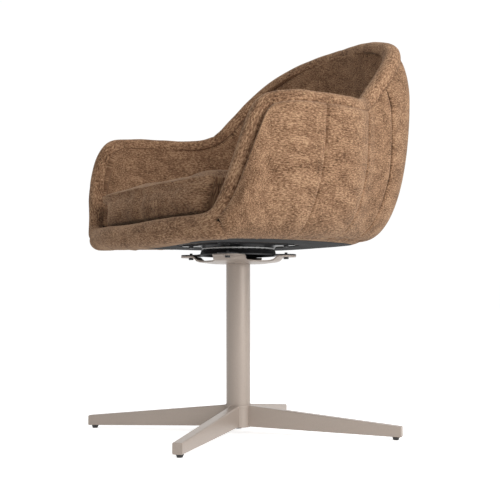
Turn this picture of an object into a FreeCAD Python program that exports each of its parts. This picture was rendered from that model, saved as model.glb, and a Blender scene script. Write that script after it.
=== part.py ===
import FreeCAD, Part
import math
import os
from functools import lru_cache

from FreeCAD import Vector

# Swivel dining chair: four-leg metal base, ball-bearing swivel and an upholstered tub seat.
# The frame has +Z up and its origin on the floor under the swivel axis. The chair faces -Y.
# All sizes are in millimetres. Small and pressed round pieces are made in narrow flats.

# Flats round a full turn
ring_sides = 40            # swivel plates and spider bowl
shank_sides = 12           # bolts, holes and nuts
glide_sides = 18
ball_sides = 6

# Base
leg_count = 4
leg_turn = 38.7            # angle from -Y to the first leg, towards +X
leg_reach = 340.0          # axis to the end of a leg
leg_width = 20.0
leg_wall = 2.0
leg_edge = 1.2             # bevel along the edges of a leg
leg_end_bottom = 6.2
leg_end_depth = 21.0
leg_root_bottom = 16.0
leg_root_depth = 43.0
hub_radius = 27.5
hub_bottom = 15.0
hub_top = 61.0
hub_floor = 5.0
fit_clearance = 0.05       # radial, on every shaft and sleeve
seat_gap = 0.3             # between soft pieces, and where a piece only rests

# Levelling glides
glide_inset = 12.4         # from the end of a leg to the glide's axis
glide_circle = leg_reach - glide_inset
glide_radius = 7.2
glide_tip_radius = 5.6
glide_stem_radius = 3.0
glide_stem_length = 17.0
glide_nut_radius = 6.0
glide_nut_height = 9.0

# Column
column_radius = 25.0
column_wall = 2.0
column_top = 357.0
plug_height = 14.0         # solid threaded foot of the column
hub_bolt_radius = 4.0
hub_bolt_head_radius = 6.8
hub_bolt_head_height = 4.0
bolt_hole_clearance = 0.2

# Welded spider on the column
sheet = 3.0                # thickness of every pressed plate
spider_bottom = 350.6
spider_bowl_radius = 85.0
spider_bowl_rise = 5.4
spider_step_radius = 95.0
spider_flange_bottom = 365.0
spider_reach = 122.0
spider_lobe_width = 66.0
arm_turn = 45.0            # the plates' arms point to the corners of the seat
bolt_circle = 101.5
plate_bolt_radius = 3.0
plate_bolt_head_across = 10.0
plate_bolt_head_height = 4.2
plate_bolt_stub = 3.6

# Ball swivel
plate_arm_width = 40.0
race_radius = 72.5
race_outer = 76.5
race_slope = 3.5
ball_radius = 3.0
ball_count = 36
ball_level = 382.5
race_lip = 2.0             # from the ball centres to the face of each race
race_play = 0.4            # between a ball and the sides of its track
cage_thickness = 2.4
cage_width = 7.4
pivot_radius = 10.0
pivot_nut_across = 27.0
pivot_nut_height = 6.0
seat_level = 392.0         # underside of the seat board
seat_screw_radius = 3.0
seat_screw_head_across = 10.0
seat_screw_head_height = 3.0
tee_nut_radius = 4.0
tee_nut_flange_radius = 9.5
tee_nut_flange = 1.2

# Seat board, deck and dust cover
board_thickness = 15.0
board_inset = 20.0         # from the lower edge of the tub
deck_height = 18.5
cover_sheet = 2.0
cover_opening = 126.0

# Tub, given by the centreline of its padded rim
lip_reach = 246.0          # rim centreline ahead of the axis, in the middle of the front
lip_level = 409.0
lip_corner_width = 243.0   # half width at the front corners
lip_corner_reach = 210.0
arm_half_width = 322.0
arm_front_reach = 144.0
arm_level = 638.0
kink_half_width = 276.0    # where the arm turns up into the back
kink_reach = 107.0
back_corner_width = 228.0
back_corner_reach = 227.0
back_corner_level = 775.0
back_reach = 284.0
back_level = 827.0
rim_radius = 16.0          # half the wall at the arms
back_rim_radius = 19.0     # half the wall at the top of the back
arm_bulge = 14.0           # the outer panels swell past the rim by this much
back_bulge = 18.0
arm_bulge_level = 620.0
back_bulge_level = 692.0
inner_bulge = 4.0
channel_depth = 4.0        # sewn channels in the outer side panels

seam_depth = 6.0           # from the rim's centreline down to its two seams
seam_gap = 0.4             # between the rim's bead and the wall under it
seam_relief = 3.0          # the wall's top falls away by this much inside its seam
edge_gap = 0.9             # between the board's edge and the panels round it
lining_gap = 2.2           # between the shell and the pads inside it

# Shares of the way round the half rim at which the tub changes
joint_share = 0.0004       # half the gap where two panels are sewn together
corner_share = 0.233       # front panel meets side panel
inner_corner_share = 0.275  # the arm's lining and its shell begin
kink_share = 0.64          # arm bead meets back bead
back_share = 0.70          # side panel meets back panel
wing_share = 0.79
seam_a_share = 0.495       # sewn channels of the side panel
seam_b_share = 0.605
channel_share = 0.011      # half the width of a sewn channel

# Lower edge of the tub
base_front_reach = 217.0
base_half_width = 239.0
base_corner_reach = 205.0
base_rear_width = 202.0
base_rear_reach = 129.0
base_back_width = 150.0
base_back_corner_reach = 206.0
base_back_reach = 234.0
base_front_level = 384.0
base_rear_level = 397.0

# Tub wall, from the outside in
cover_pad = 20.0
shell_wall = 6.0
wall_thickness = 50.0

# Loose-laid seat cushion
cushion_front_reach = 226.0
cushion_front_corner = 201.0
cushion_half_width = 246.0
cushion_bottom_half_width = 226.0
cushion_gap = 8.0          # between cushion and lining
cushion_seam_level = 500.0
cushion_crown = 24.0
cushion_pull_in = 5.0      # the sides draw in between the seams


def polar(radius, degrees, level=0.0):
    """Point on a circle, with the angle counted from -Y towards +X."""
    angle = math.radians(degrees)
    return Vector(radius * math.sin(angle), -radius * math.cos(angle), level)


def cylinder(radius, bottom, top, centre=Vector(0, 0, 0)):
    """Upright cylinder between two levels."""
    return Part.makeCylinder(radius, top - bottom, Vector(centre.x, centre.y, bottom))


def polygon(points):
    """Flat face through a ring of points."""
    return Part.Face(Part.makePolygon(points + points[:1]))


def closed_solid(faces):
    """Solid inside a closed set of faces."""
    shell = Part.makeShell(faces)
    shell.sewShape()
    solid = Part.Solid(shell)
    if solid.Volume < 0:
        solid.reverse()
    return solid


def skin(rings):
    """Closed solid through a row of rings of points, in flat triangles."""
    faces = [polygon(rings[0]), polygon(rings[-1])]
    for near, far in zip(rings, rings[1:]):
        after = zip(near, near[1:] + near[:1], far[1:] + far[:1], far)
        for first, second, third, fourth in after:
            if (third - first).Length < (fourth - second).Length:
                faces += [polygon([first, second, third]), polygon([first, third, fourth])]
            else:
                faces += [polygon([first, second, fourth]), polygon([second, third, fourth])]
    return closed_solid(faces)


def prism(radius, sides, bottom, top, centre=Vector(0, 0, 0)):
    """Upright prism with its corners on a circle."""
    centre = Vector(centre.x, centre.y, 0)
    corners = [centre + polar(radius, 360 * side / sides, bottom) for side in range(sides)]
    return polygon(corners).extrude(Vector(0, 0, top - bottom))


def across_flats(radius, sides):
    """Corner circle of a prism whose flats lie at the radius."""
    return radius / math.cos(math.pi / sides)


def turned(points, sides):
    """Ring or disc in flats about the Z axis, from (radius, level) points."""
    step = 360.0 / sides
    faces = []
    for (radius, level), (radius_after, level_after) in zip(points, points[1:] + points[:1]):
        for side in range(sides):
            near, far = step * side, step * (side + 1)
            corners = [polar(radius, near, level), polar(radius, far, level),
                       polar(radius_after, far, level_after),
                       polar(radius_after, near, level_after)]
            if radius < 1e-6:
                corners = corners[1:]
            if radius_after < 1e-6:
                corners = corners[:-1]
            if len(corners) > 2:
                faces.append(polygon(corners))
    return closed_solid(faces)


def pressed_ring(upper, thickness):
    """Plate of even thickness below a line of (radius, level) points."""
    normals = []
    for start, end in zip(upper, upper[1:]):
        run, rise = end[0] - start[0], end[1] - start[1]
        length = math.hypot(run, rise)
        normals.append((rise / length, -run / length))
    lower = []
    for index, (radius, level) in enumerate(upper):
        before = normals[max(index - 1, 0)]
        after = normals[min(index, len(normals) - 1)]
        mitre = 1 + before[0] * after[0] + before[1] * after[1]
        step_r = (before[0] + after[0]) / mitre
        step_z = (before[1] + after[1]) / mitre
        if index in (0, len(upper) - 1):
            step_r, step_z = 0, -1 / abs(after[1])
        lower.append((radius + thickness * step_r, level + thickness * step_z))
    return turned(upper + lower[::-1], ring_sides)


def hexagon(across, bottom, top, centre):
    """Upright hexagonal prism by its width across flats."""
    return prism(across_flats(across / 2, 6), 6, bottom, top, centre)


def four_arms(reach, width, bottom, top, centre_radius):
    """Plan of a plate with four round-ended arms, as a block between two levels."""
    plan = prism(centre_radius, ring_sides, bottom, top)
    for quarter in range(4):
        turn = arm_turn + 90 * quarter
        inner = reach - width / 2
        arm = Part.makeBox(width, inner, top - bottom, Vector(-width / 2, -inner, bottom))
        end = prism(width / 2, 2 * shank_sides, bottom, top, Vector(0, -inner, 0))
        arm = arm.fuse(end)
        arm.rotate(Vector(0, 0, 0), Vector(0, 0, 1), turn)
        plan = plan.fuse(arm)
    return plan.removeSplitter()


def plate_bolt_places():
    """Centres of the four bolts that clamp a swivel plate."""
    return [polar(bolt_circle, arm_turn + 90 * quarter) for quarter in range(4)]


def drilled(shape, radius, places, bottom, top):
    """Shape with the same hole at each place."""
    for place in places:
        shape = shape.cut(prism(radius, shank_sides, bottom, top, place))
    return shape


def group(shapes):
    """Separate solids of one node."""
    return Part.makeCompound(shapes)


def hub():
    """Turned sleeve with a floor, in which the column stands."""
    body = prism(hub_radius, ring_sides, hub_bottom, hub_top)
    bore = prism(across_flats(column_radius + fit_clearance, ring_sides), ring_sides,
                 hub_bottom + hub_floor, hub_top + 1)
    hole = prism(hub_bolt_radius + bolt_hole_clearance, shank_sides, hub_bottom - 1, hub_top)
    body = body.cut(bore)
    body.rotate(Vector(0, 0, 0), Vector(0, 0, 1), leg_turn)
    return body.cut(hole)


def leg_slope():
    """Rise of a leg's underside per millimetre towards the hub."""
    return (leg_root_bottom - leg_end_bottom) / (leg_reach - hub_radius)


def leg_block(inset, start, end):
    """Tapered box along -Y, drawn in all round by the inset."""
    top_slope = leg_slope() + (leg_root_depth - leg_end_depth) / (leg_reach - hub_radius)
    low = [leg_end_bottom + (leg_reach - y) * leg_slope() + inset for y in (start, end)]
    high = [leg_end_bottom + leg_end_depth + (leg_reach - y) * top_slope - inset
            for y in (start, end)]
    half = leg_width / 2 - inset
    side = [Vector(-half, -start, low[0]), Vector(-half, -end, low[1]),
            Vector(-half, -end, high[1]), Vector(-half, -start, high[0])]
    return Part.Face(Part.makePolygon(side + side[:1])).extrude(Vector(2 * half, 0, 0))


def leg(turn):
    """Tapered rectangular tube, closed at its outer end and shaped to the hub at its root."""
    body = leg_block(0, 0, leg_reach)
    body = body.makeChamfer(leg_edge, [e for e in body.Edges if e.BoundBox.YMin < -1])
    body = body.cut(leg_block(leg_wall, 0, leg_reach - leg_wall))
    body = body.cut(prism(hub_radius, ring_sides, 0, hub_top + leg_root_depth))
    hole = prism(glide_stem_radius + bolt_hole_clearance, shank_sides, 0,
                 glide_level() + 2 * leg_wall, Vector(0, -glide_circle, 0))
    body = body.cut(hole)
    body.rotate(Vector(0, 0, 0), Vector(0, 0, 1), turn)
    return body


def glide_level():
    """Top of a glide's foot, just under the sloping leg."""
    return leg_end_bottom + (leg_reach - glide_circle - glide_radius) * leg_slope() - 0.02


def glide(turn):
    """Tapered foot with a wider collar and a threaded stem."""
    level = glide_level()
    foot = turned([(0, 0), (glide_tip_radius, 0), (glide_radius, level * 0.6),
                   (glide_radius, level), (0, level)], glide_sides)
    stem = prism(glide_stem_radius, shank_sides, level, level + glide_stem_length)
    foot = foot.fuse(stem)
    foot.translate(Vector(0, -glide_circle, 0))
    foot.rotate(Vector(0, 0, 0), Vector(0, 0, 1), turn)
    return foot


def glide_nut(turn):
    """Threaded insert inside a leg, standing on its lower wall."""
    place = Vector(0, -glide_circle, 0)
    top = glide_level() + leg_wall + glide_nut_height
    nut = prism(glide_nut_radius, shank_sides, glide_level(), top, place)
    nut = nut.cut(prism(glide_stem_radius + fit_clearance, shank_sides, 0, top + 1, place))
    nut = nut.common(leg_block(leg_wall, 0, leg_reach - leg_wall))
    nut.rotate(Vector(0, 0, 0), Vector(0, 0, 1), turn)
    return nut


def column():
    """Round tube from the hub's floor up through the spider, with a solid threaded foot."""
    foot = hub_bottom + hub_floor
    tube = cylinder(column_radius, foot, column_top)
    tube = tube.cut(cylinder(column_radius - column_wall, foot + plug_height, column_top + 1))
    return tube.cut(prism(hub_bolt_radius + fit_clearance, shank_sides, foot - 1,
                          foot + plug_height + 1))


def hub_bolt():
    """Bolt from below that draws the column into the hub."""
    head_low = hub_bottom - hub_bolt_head_height
    head = prism(hub_bolt_head_radius, 2 * shank_sides, head_low, hub_bottom)
    socket = hexagon(hub_bolt_radius * 1.2, head_low, head_low + hub_bolt_head_height / 2,
                     Vector(0, 0, 0))
    shank = prism(hub_bolt_radius, shank_sides, hub_bottom, hub_bottom + hub_floor + plug_height)
    return head.cut(socket).fuse(shank)


def spider():
    """Pressed bowl with four lobes, welded round the top of the column."""
    bore = across_flats(column_radius + fit_clearance, ring_sides)
    upper = [(bore, spider_bottom + sheet),
             (spider_bowl_radius, spider_bottom + spider_bowl_rise + sheet),
             (spider_step_radius, spider_flange_bottom + sheet),
             (spider_reach + 1, spider_flange_bottom + sheet)]
    bowl = pressed_ring(upper, sheet)
    plan = four_arms(spider_reach, spider_lobe_width, spider_bottom - 1,
                     spider_flange_bottom + sheet + 1, spider_lobe_width * 1.12)
    bowl = bowl.common(plan)
    return drilled(bowl, plate_bolt_radius + bolt_hole_clearance, plate_bolt_places(),
                   spider_bottom, spider_flange_bottom + 2 * sheet)


def lower_plate_top():
    """Upper face of the lower swivel plate's arms."""
    return spider_flange_bottom + 2 * sheet


def lower_race_level():
    """Upper face of the lower race."""
    return ball_level - race_lip


def race_groove():
    """Ball track, as the ring that is cut from both races."""
    half, depth = ball_radius * 0.8 + race_play, ball_radius * 0.8 + fit_clearance
    return turned([(race_radius - half, ball_level - depth), (race_radius + half, ball_level - depth),
                   (race_radius + half, ball_level + depth), (race_radius - half, ball_level + depth)],
                  ring_sides)


def lower_swivel_plate():
    """Pressed plate with a raised ball race, bolted down on the spider."""
    top = lower_plate_top()
    upper = [(pivot_radius / 2, lower_race_level()), (race_outer, lower_race_level()),
             (race_outer + race_slope, top), (spider_reach + 1, top)]
    plate = pressed_ring(upper, sheet)
    plan = four_arms(spider_reach, plate_arm_width, top - sheet - 1, ball_level,
                     race_outer + 2 * race_slope)
    bore = cylinder(pivot_radius + fit_clearance, top, ball_level)
    plate = plate.common(plan).cut(race_groove()).cut(bore)
    return drilled(plate, plate_bolt_radius, plate_bolt_places(), top - sheet - 1, top + 1)


def upper_swivel_plate():
    """Pressed plate with the mating race, screwed up against the seat board."""
    under = seat_level - sheet
    face = ball_level + race_lip
    lower = [(0, face), (race_outer, face), (race_outer + race_slope, under),
             (spider_reach + 1, under)]
    mirrored = [(radius, -level) for radius, level in lower]
    plate = pressed_ring(mirrored, sheet)
    plate = plate.mirror(Vector(0, 0, 0), Vector(0, 0, 1))
    plan = four_arms(spider_reach - 2, plate_arm_width, ball_level, seat_level + 1,
                     race_outer + 2 * race_slope)
    plate = plate.common(plan).cut(race_groove())
    return drilled(plate, seat_screw_radius, plate_bolt_places(), under - 1, seat_level + 1)


def spider_bolt(place):
    """Hexagon bolt from below through spider and plate, with its end standing proud."""
    head = hexagon(plate_bolt_head_across, spider_flange_bottom - plate_bolt_head_height,
                   spider_flange_bottom, place)
    shank = prism(plate_bolt_radius, shank_sides, spider_flange_bottom,
                  lower_plate_top() + plate_bolt_stub, place)
    return head.fuse(shank)


def ball(place):
    """Bearing ball, in flats to keep the row of them light."""
    rings = []
    for share in (-0.8, 0, 0.8):
        radius = ball_radius * math.sqrt(1 - share * share)
        level = ball_level + share * ball_radius
        rings.append([place + polar(radius, 360 * side / ball_sides, level)
                      for side in range(ball_sides)])
    return skin(rings)


def ball_places():
    """Angles of the balls round the race."""
    return [360.0 * (number + 0.5) / ball_count for number in range(ball_count)]


def ball_cage():
    """Flat ring with a square window for each ball."""
    low = ball_level - cage_thickness / 2
    inner, outer = race_radius - cage_width / 2, race_radius + cage_width / 2
    ring = turned([(inner, low), (outer, low), (outer, low + cage_thickness),
                   (inner, low + cage_thickness)], ball_count)
    window = 2 * (ball_radius + fit_clearance)
    cuts = []
    for turn in ball_places():
        box = Part.makeBox(window, window, cage_thickness + 2,
                           Vector(-window / 2, -race_radius - window / 2, low - 1))
        box.rotate(Vector(0, 0, 0), Vector(0, 0, 1), turn)
        cuts.append(box)
    return ring.cut(group(cuts))


def swivel_pivot():
    """Centre pin welded under the upper plate, running in the lower plate."""
    return cylinder(pivot_radius, pivot_nut_top() - pivot_nut_height, ball_level + race_lip)


def pivot_nut_top():
    """Upper face of the nut that keeps the two plates together."""
    return lower_race_level() - sheet - seat_gap


def pivot_nut():
    """Nut on the end of the centre pin."""
    top = pivot_nut_top()
    nut = hexagon(pivot_nut_across, top - pivot_nut_height, top, Vector(0, 0, 0))
    return nut.cut(cylinder(pivot_radius, top - pivot_nut_height - 1, top + 1))


def seat_screw(place):
    """Hexagon screw that holds the upper plate to the seat board."""
    under = seat_level - sheet
    head = hexagon(seat_screw_head_across, under - seat_screw_head_height, under, place)
    return head.fuse(prism(seat_screw_radius, shank_sides, under, board_top(), place))


def tee_nut(place):
    """Flanged nut pressed into the seat board from above."""
    top = board_top()
    barrel = prism(tee_nut_radius, shank_sides, tee_nut_foot(), top, place)
    flange = prism(tee_nut_flange_radius, 6, top, top + tee_nut_flange, place)
    return barrel.fuse(flange).cut(prism(seat_screw_radius, shank_sides, seat_level, top + 5, place))


def tee_nut_foot():
    """Lower end of a tee nut's barrel."""
    return seat_level + board_thickness / 3


def smooth_line(points):
    """Smooth curve through points, square to the middle of the chair at both ends."""
    curve = Part.BSplineCurve()
    curve.interpolate(Points=[Vector(*point) for point in points],
                      InitialTangent=Vector(1, 0, 0), FinalTangent=Vector(-1, 0, 0))
    return curve


@lru_cache
def rim_line():
    """Centreline of the padded rim on the +X side, from front middle to back middle."""
    return smooth_line([
        (0, -lip_reach, lip_level),
        (lip_corner_width * 0.49, -lip_reach + 7, lip_level + 3),
        (lip_corner_width - 43, -lip_corner_reach - 11, lip_level + 5),
        (lip_corner_width, -lip_corner_reach, lip_level + 12),
        (lip_corner_width + 38, -lip_corner_reach + 16, lip_level + 70),
        (arm_half_width - 13, -arm_front_reach - 24, arm_level - 53),
        (arm_half_width - 9, -arm_front_reach, arm_level - 16),
        (arm_half_width, -arm_front_reach + 26, arm_level - 7),
        (arm_half_width, -arm_front_reach + 110, arm_level),
        (kink_half_width + 32, kink_reach - 55, arm_level + 2),
        (kink_half_width, kink_reach, arm_level + 13),
        (kink_half_width - 15, kink_reach + 48, arm_level + 56),
        (back_corner_width, back_corner_reach, back_corner_level),
        (back_corner_width * 0.6, back_reach - 26, back_level - 15),
        (0, back_reach, back_level)])


@lru_cache
def base_line():
    """Lower edge of the tub on the +X side, from front middle to back middle."""
    front, rear = base_front_level, base_rear_level
    return smooth_line([
        (0, -base_front_reach, front - 6),
        (base_half_width * 0.5, -base_front_reach + 4, front - 3),
        (base_half_width - 28, -base_corner_reach - 4, front),
        (base_half_width - 7, -base_corner_reach + 3, front),
        (base_half_width, -base_corner_reach + 20, front + 1),
        (base_half_width + 1, -base_corner_reach + 90, front + 4),
        (base_half_width, -20, (front + rear) / 2 + 1),
        (base_rear_width, base_rear_reach, rear),
        (base_back_width, base_back_corner_reach, rear),
        (base_back_width * 0.7, base_back_corner_reach + 17, rear),
        (0, base_back_reach, rear)])


def between(table, share):
    """Value at a share of the way round, from (share, value) pairs."""
    for (low, start), (high, end) in zip(table, table[1:]):
        if share <= high:
            blend = max(share - low, 0) / (high - low)
            return start + (end - start) * blend
    return table[-1][1]


class Station:
    """One upright section through the wall of the tub, looking along the rim."""

    def __init__(self, share, side=1):
        rim, base = rim_line(), base_line()
        base_share = between([(0, 0), (0.214, 0.287), (0.51, 0.51), (kink_share, 0.70),
                              (wing_share, 0.815), (1, 1)], share)
        at_rim = rim.parameterAtDistance(rim.length() * share)
        at_base = base.parameterAtDistance(base.length() * base_share)
        self.share = share
        self.side = side
        self.rim = rim.value(at_rim)
        self.base = base.value(at_base)
        along, below = rim.tangent(at_rim)[0], base.tangent(at_base)[0]
        flat = Vector(along.x + below.x, along.y + below.y, 0)
        self.out = Vector(flat.y, -flat.x, 0).normalize()
        self.along = along
        if share in (0, 1):
            self.out = Vector(0, -1 if share == 0 else 1, 0)
            self.along = Vector(1 if share == 0 else -1, 0, 0)
        self.crest = self.along.cross(self.out) * -1
        if self.crest.z < 0:
            self.crest = self.crest * -1
        self.half = between([(0, rim_radius - 1), (kink_share, rim_radius),
                             (wing_share, back_rim_radius), (1, back_rim_radius)], share)
        self.bulge = between([(0, 3), (corner_share, 6), (0.30, arm_bulge), (0.58, arm_bulge),
                              (kink_share, arm_bulge - 3), (wing_share, back_bulge),
                              (1, back_bulge)], share)
        seam = self.rim + self.out * self.half - self.crest * seam_depth
        self.seam_level = seam.z
        high = between([(0, arm_bulge_level), (kink_share, arm_bulge_level),
                        (wing_share, back_bulge_level), (1, back_bulge_level)], share)
        self.swell_level = min(self.seam_level - 6, high)
        swell = self.rim + self.out * (self.half + self.bulge)
        across = Vector(swell.x - self.base.x, swell.y - self.base.y, 0)
        self.width = across.Length
        self.across = across.normalize()
        rise = seam - self.base
        drift = rise - self.across * rise.dot(self.across)
        self.drift = Vector(drift.x, drift.y, 0) * (1 / rise.z)
        self.seam = Vector(rise.x, rise.y, 0).dot(self.across)

    def at(self, reach, level):
        """Point of the section by its reach out from the lower edge and its level."""
        rise = level - self.base.z
        plan = self.base + self.across * reach + self.drift * rise
        return self.turned(Vector(plan.x, plan.y, level))

    def turned(self, point):
        """Point on this station's own side of the chair."""
        return Vector(self.side * point.x, point.y, point.z)

    def under_bead(self, reach):
        """Highest level at a reach that stays below the bead's flat underside."""
        rise = (reach - self.seam) * self.across.dot(self.crest) / self.crest.z
        return self.seam_level - max(rise, 0)

    def outer(self, degrees):
        """Reach and level on the outer curve, from 0 at the lower edge to 90 at the swell."""
        power = 2 / 2.2
        angle = math.radians(degrees)
        reach = self.width * math.sin(angle) ** power
        level = self.base.z + (self.swell_level - self.base.z) * (1 - math.cos(angle) ** power)
        return reach, level

    def bracket(self, depth, top):
        """Line at a depth inside the outer curve, as (reach, level) from the top down."""
        knee_reach, knee_level = self.outer(45)
        knee_level = max(knee_level + depth * 0.5, board_top() + 3)
        foot = min(-board_inset - depth + cover_pad, 0)
        mid_reach, mid_level = self.outer(66)
        return [(self.seam - top, self.seam_level), (self.width - depth, self.swell_level),
                (mid_reach - depth * 0.96, mid_level + depth * 0.28),
                (knee_reach - depth * 0.83, knee_level),
                (foot, board_top() + seat_gap)]


def channel(share):
    """How far a sewn channel draws the outer panel in."""
    nearest = min(abs(share - seam_a_share), abs(share - seam_b_share))
    return channel_depth if nearest < 0.001 else 0.0


def board_top():
    """Upper face of the seat board."""
    return seat_level + board_thickness


def bowed(start, middle, end, steps):
    """Pairs along a parabola that leaves start, passes middle half way and reaches end."""
    points = []
    for step in range(steps + 1):
        share = step / steps
        pull = 4 * share * (1 - share)
        points.append(tuple(a + (c - a) * share + (b - (a + c) / 2) * pull
                            for a, b, c in zip(start, middle, end)))
    return points


def lip_section(station):
    """Front panel under the lip: a soft roll from the board's edge to the outer seam."""
    inner = station.seam - 2 * station.half
    edge = -board_inset + edge_gap
    low, high = station.base.z, station.seam_level
    start, swell = station.width * 0.3, low + (high - low) * 0.62
    roll = []
    for angle in (0, 18, 36, 54, 72, 90):
        turn = math.radians(angle)
        roll.append((start + (station.width - start) * math.sin(turn),
                     low + (swell - low) * (1 - math.cos(turn))))
    top = ((station.width * 2 + station.seam) / 3, low + (high - low) * 0.85)
    under = station.under_bead(inner) - seam_relief
    outline = roll + [top, (station.seam, high), (inner, under), (inner - seat_gap, board_top()),
                      (edge, board_top()), (edge, low)]
    return [station.at(*point) for point in outline]


def cover_section(station):
    """Outer panel: a full curve from the base edge by the swell to the seam, then the shell side."""
    drawn_in = channel(station.share)
    outline = []
    for angle in (0, 10, 20, 32, 44, 56, 68, 79):
        reach, level = station.outer(angle)
        outline.append((reach - drawn_in * math.sin(math.radians(angle)), level))
    high = (station.seam * 0.35 + station.width * 0.65 - drawn_in / 2,
            station.swell_level * 0.4 + station.seam_level * 0.6)
    outline += bowed((station.width - drawn_in, station.swell_level), high,
                     (station.seam, station.seam_level), 3)
    depth, top = cover_pad - seat_gap, station.half - shell_wall / 2 - seat_gap
    under = station.under_bead(station.seam - top) - seam_relief
    edge = -board_inset + edge_gap
    outline += [(inside(station, depth, top, under), under)] + station.bracket(depth, top)[1:-1]
    outline += [(edge, board_top() + seat_gap), (edge, station.base.z)]
    return [station.at(*point) for point in outline]


def shell_section(station):
    """Moulded shell between outer panel and lining."""
    outer = station.bracket(cover_pad, station.half - shell_wall / 2)
    inner = station.bracket(cover_pad + shell_wall, station.half + shell_wall / 2)
    return [station.at(*point) for point in outer + inner[::-1]]


def inside(station, depth, top, level):
    """Reach of the line at a depth inside the outer curve, at one level."""
    line = station.bracket(depth, top)
    for (high_reach, high), (low_reach, low) in zip(line, line[1:]):
        if level >= low:
            blend = (level - low) / (high - low)
            return low_reach + (high_reach - low_reach) * blend
    return line[-1][0]


def lining_reach(station, level):
    """Reach of the lining's face at one level: a parabola from the deck to the inner seam."""
    foot, top, wall = deck_top() + seat_gap, station.seam_level, 2 * station.half
    share = (level - foot) / (top - foot)
    low, high = inside(station, wall_thickness, wall, foot), station.seam - wall
    middle = inside(station, wall_thickness, wall, (foot + top) / 2) - inner_bulge
    return low + (high - low) * share + (middle - (low + high) / 2) * 4 * share * (1 - share)


def lining_section(station):
    """Inner pad: a softly swelling face from the inner seam down to the deck."""
    depth, top = cover_pad + shell_wall + lining_gap, station.half + shell_wall / 2 + lining_gap
    foot = deck_top() + seat_gap
    back = []
    for index, (reach, level) in enumerate(station.bracket(depth, top)[:-1]):
        level = max(level, foot + 3 * (4 - index))
        back.append((inside(station, depth, top, level), level))
    back.append((inside(station, depth, top, foot), foot))
    rise = station.seam_level - foot
    face = [(lining_reach(station, foot + rise * share), foot + rise * share)
            for share in (0, 0.2, 0.4, 0.6, 0.8, 1)]
    return [station.at(*point) for point in back + face]


def band_section(station):
    """Rounded bead on top of the wall, from seam to seam."""
    low = seam_gap - seam_depth
    outline = []
    for degrees in range(0, 181, 20):
        turn = math.radians(degrees)
        across = station.half * math.copysign(abs(math.cos(turn)) ** 0.8, math.cos(turn))
        up = low + (rim_radius - low) * math.sin(turn) ** 0.9
        place = station.rim + station.out * across + station.crest * up
        outline.append(station.turned(place))
    return outline


def row_of_stations(shares, side):
    """Stations on one side of the chair, +1 or -1."""
    return [Station(share, side) for share in shares]


def round_the_back(shares):
    """Stations from one side round the back middle to the other."""
    return row_of_stations(shares, -1) + row_of_stations([1] + shares[::-1], 1)


def round_the_front(shares):
    """Stations from one side round the front middle to the other."""
    return row_of_stations(shares[::-1], -1) + row_of_stations([0] + shares, 1)


def front_shares():
    """Stations of the pieces across the front, on one side."""
    return [0.03, 0.06, 0.09, 0.12, 0.15, 0.175, 0.195, 0.21, 0.222, corner_share - joint_share]


def front_lip():
    """Upholstered panel below the front of the rim."""
    return skin([lip_section(station) for station in round_the_front(front_shares())])


def side_shares():
    """Stations of a side panel, close together at its two channels."""
    shares = [corner_share + joint_share, 0.25, inner_corner_share, 0.3, 0.325, 0.35, 0.37, 0.39,
              0.41, 0.44]
    for seam in (seam_a_share, seam_b_share):
        shares += [seam - channel_share, seam, seam + channel_share]
        if seam == seam_a_share:
            shares.append((seam_a_share + seam_b_share) / 2)
    return shares + [kink_share, 0.655, 0.678, back_share - joint_share]


def side_cover(side):
    """Outer side panel, padded in three sewn fields."""
    return skin([cover_section(station) for station in row_of_stations(side_shares(), side)])


def back_shares():
    """Stations of the back's pieces, on one side."""
    return [back_share + joint_share, 0.72, 0.745, 0.768, wing_share, 0.815, 0.85, 0.9, 0.95]


def back_cover():
    """Outer back panel."""
    return skin([cover_section(station) for station in round_the_back(back_shares())])


def seat_shell():
    """Moulded shell round sides and back, standing on the seat board."""
    shares = side_shares()[2:-1] + back_shares()
    return skin([shell_section(station) for station in round_the_back(shares)])


def side_lining(side):
    """Inner pad of one arm."""
    return skin([lining_section(station) for station in row_of_stations(side_shares()[2:], side)])


def back_lining():
    """Inner pad of the back."""
    return skin([lining_section(station) for station in round_the_back(back_shares())])


def arm_band(side):
    """Rim bead from the front corner over the arm."""
    shares = [share for share in side_shares() if share < kink_share]
    shares.append(kink_share - joint_share)
    return skin([band_section(station) for station in row_of_stations(shares, side)])


def back_band():
    """Rim bead from one arm over the back to the other."""
    shares = [kink_share + joint_share]
    shares += [share for share in side_shares()[:-1] if share > kink_share] + back_shares()
    return skin([band_section(station) for station in round_the_back(shares)])


def front_band():
    """Rim bead across the front of the seat."""
    return skin([band_section(station) for station in round_the_front(front_shares())])


def mirrored_loop(near):
    """Closed ring of points from those of one side, which start and end in the middle."""
    far = [Vector(-point.x, point.y, point.z) for point in near]
    return near + far[-2:0:-1]


def plan_outline(reach_of, level):
    """Ring of points through both sides' stations at one level."""
    shares = [0, 0.05, 0.1, 0.15, 0.19, 0.207, 0.22, 0.25] + side_shares()[2:-1] + back_shares()
    shares.append(1)
    return mirrored_loop([station.at(reach_of(station), level)
                          for station in row_of_stations(shares, 1)])


def slab(reach_low, low, reach_high, high):
    """Flat piece between two outlines."""
    return skin([plan_outline(reach_low, low), plan_outline(reach_high, high)])


def deck_top():
    """Upper face of the sprung deck, on which the cushion lies."""
    return board_top() + deck_height


def deck_foot_reach(station):
    """Reach of the deck's lower edge."""
    return -board_inset - shell_wall - edge_gap


def deck_top_reach(station):
    """Reach of the deck's upper edge: against the lip's bead, or against the shell."""
    if station.share < 0.24:
        return station.seam - 2 * station.half - 3 * seat_gap
    depth = cover_pad + shell_wall + lining_gap
    return inside(station, depth, station.half + shell_wall / 2, deck_top()) - edge_gap


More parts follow.
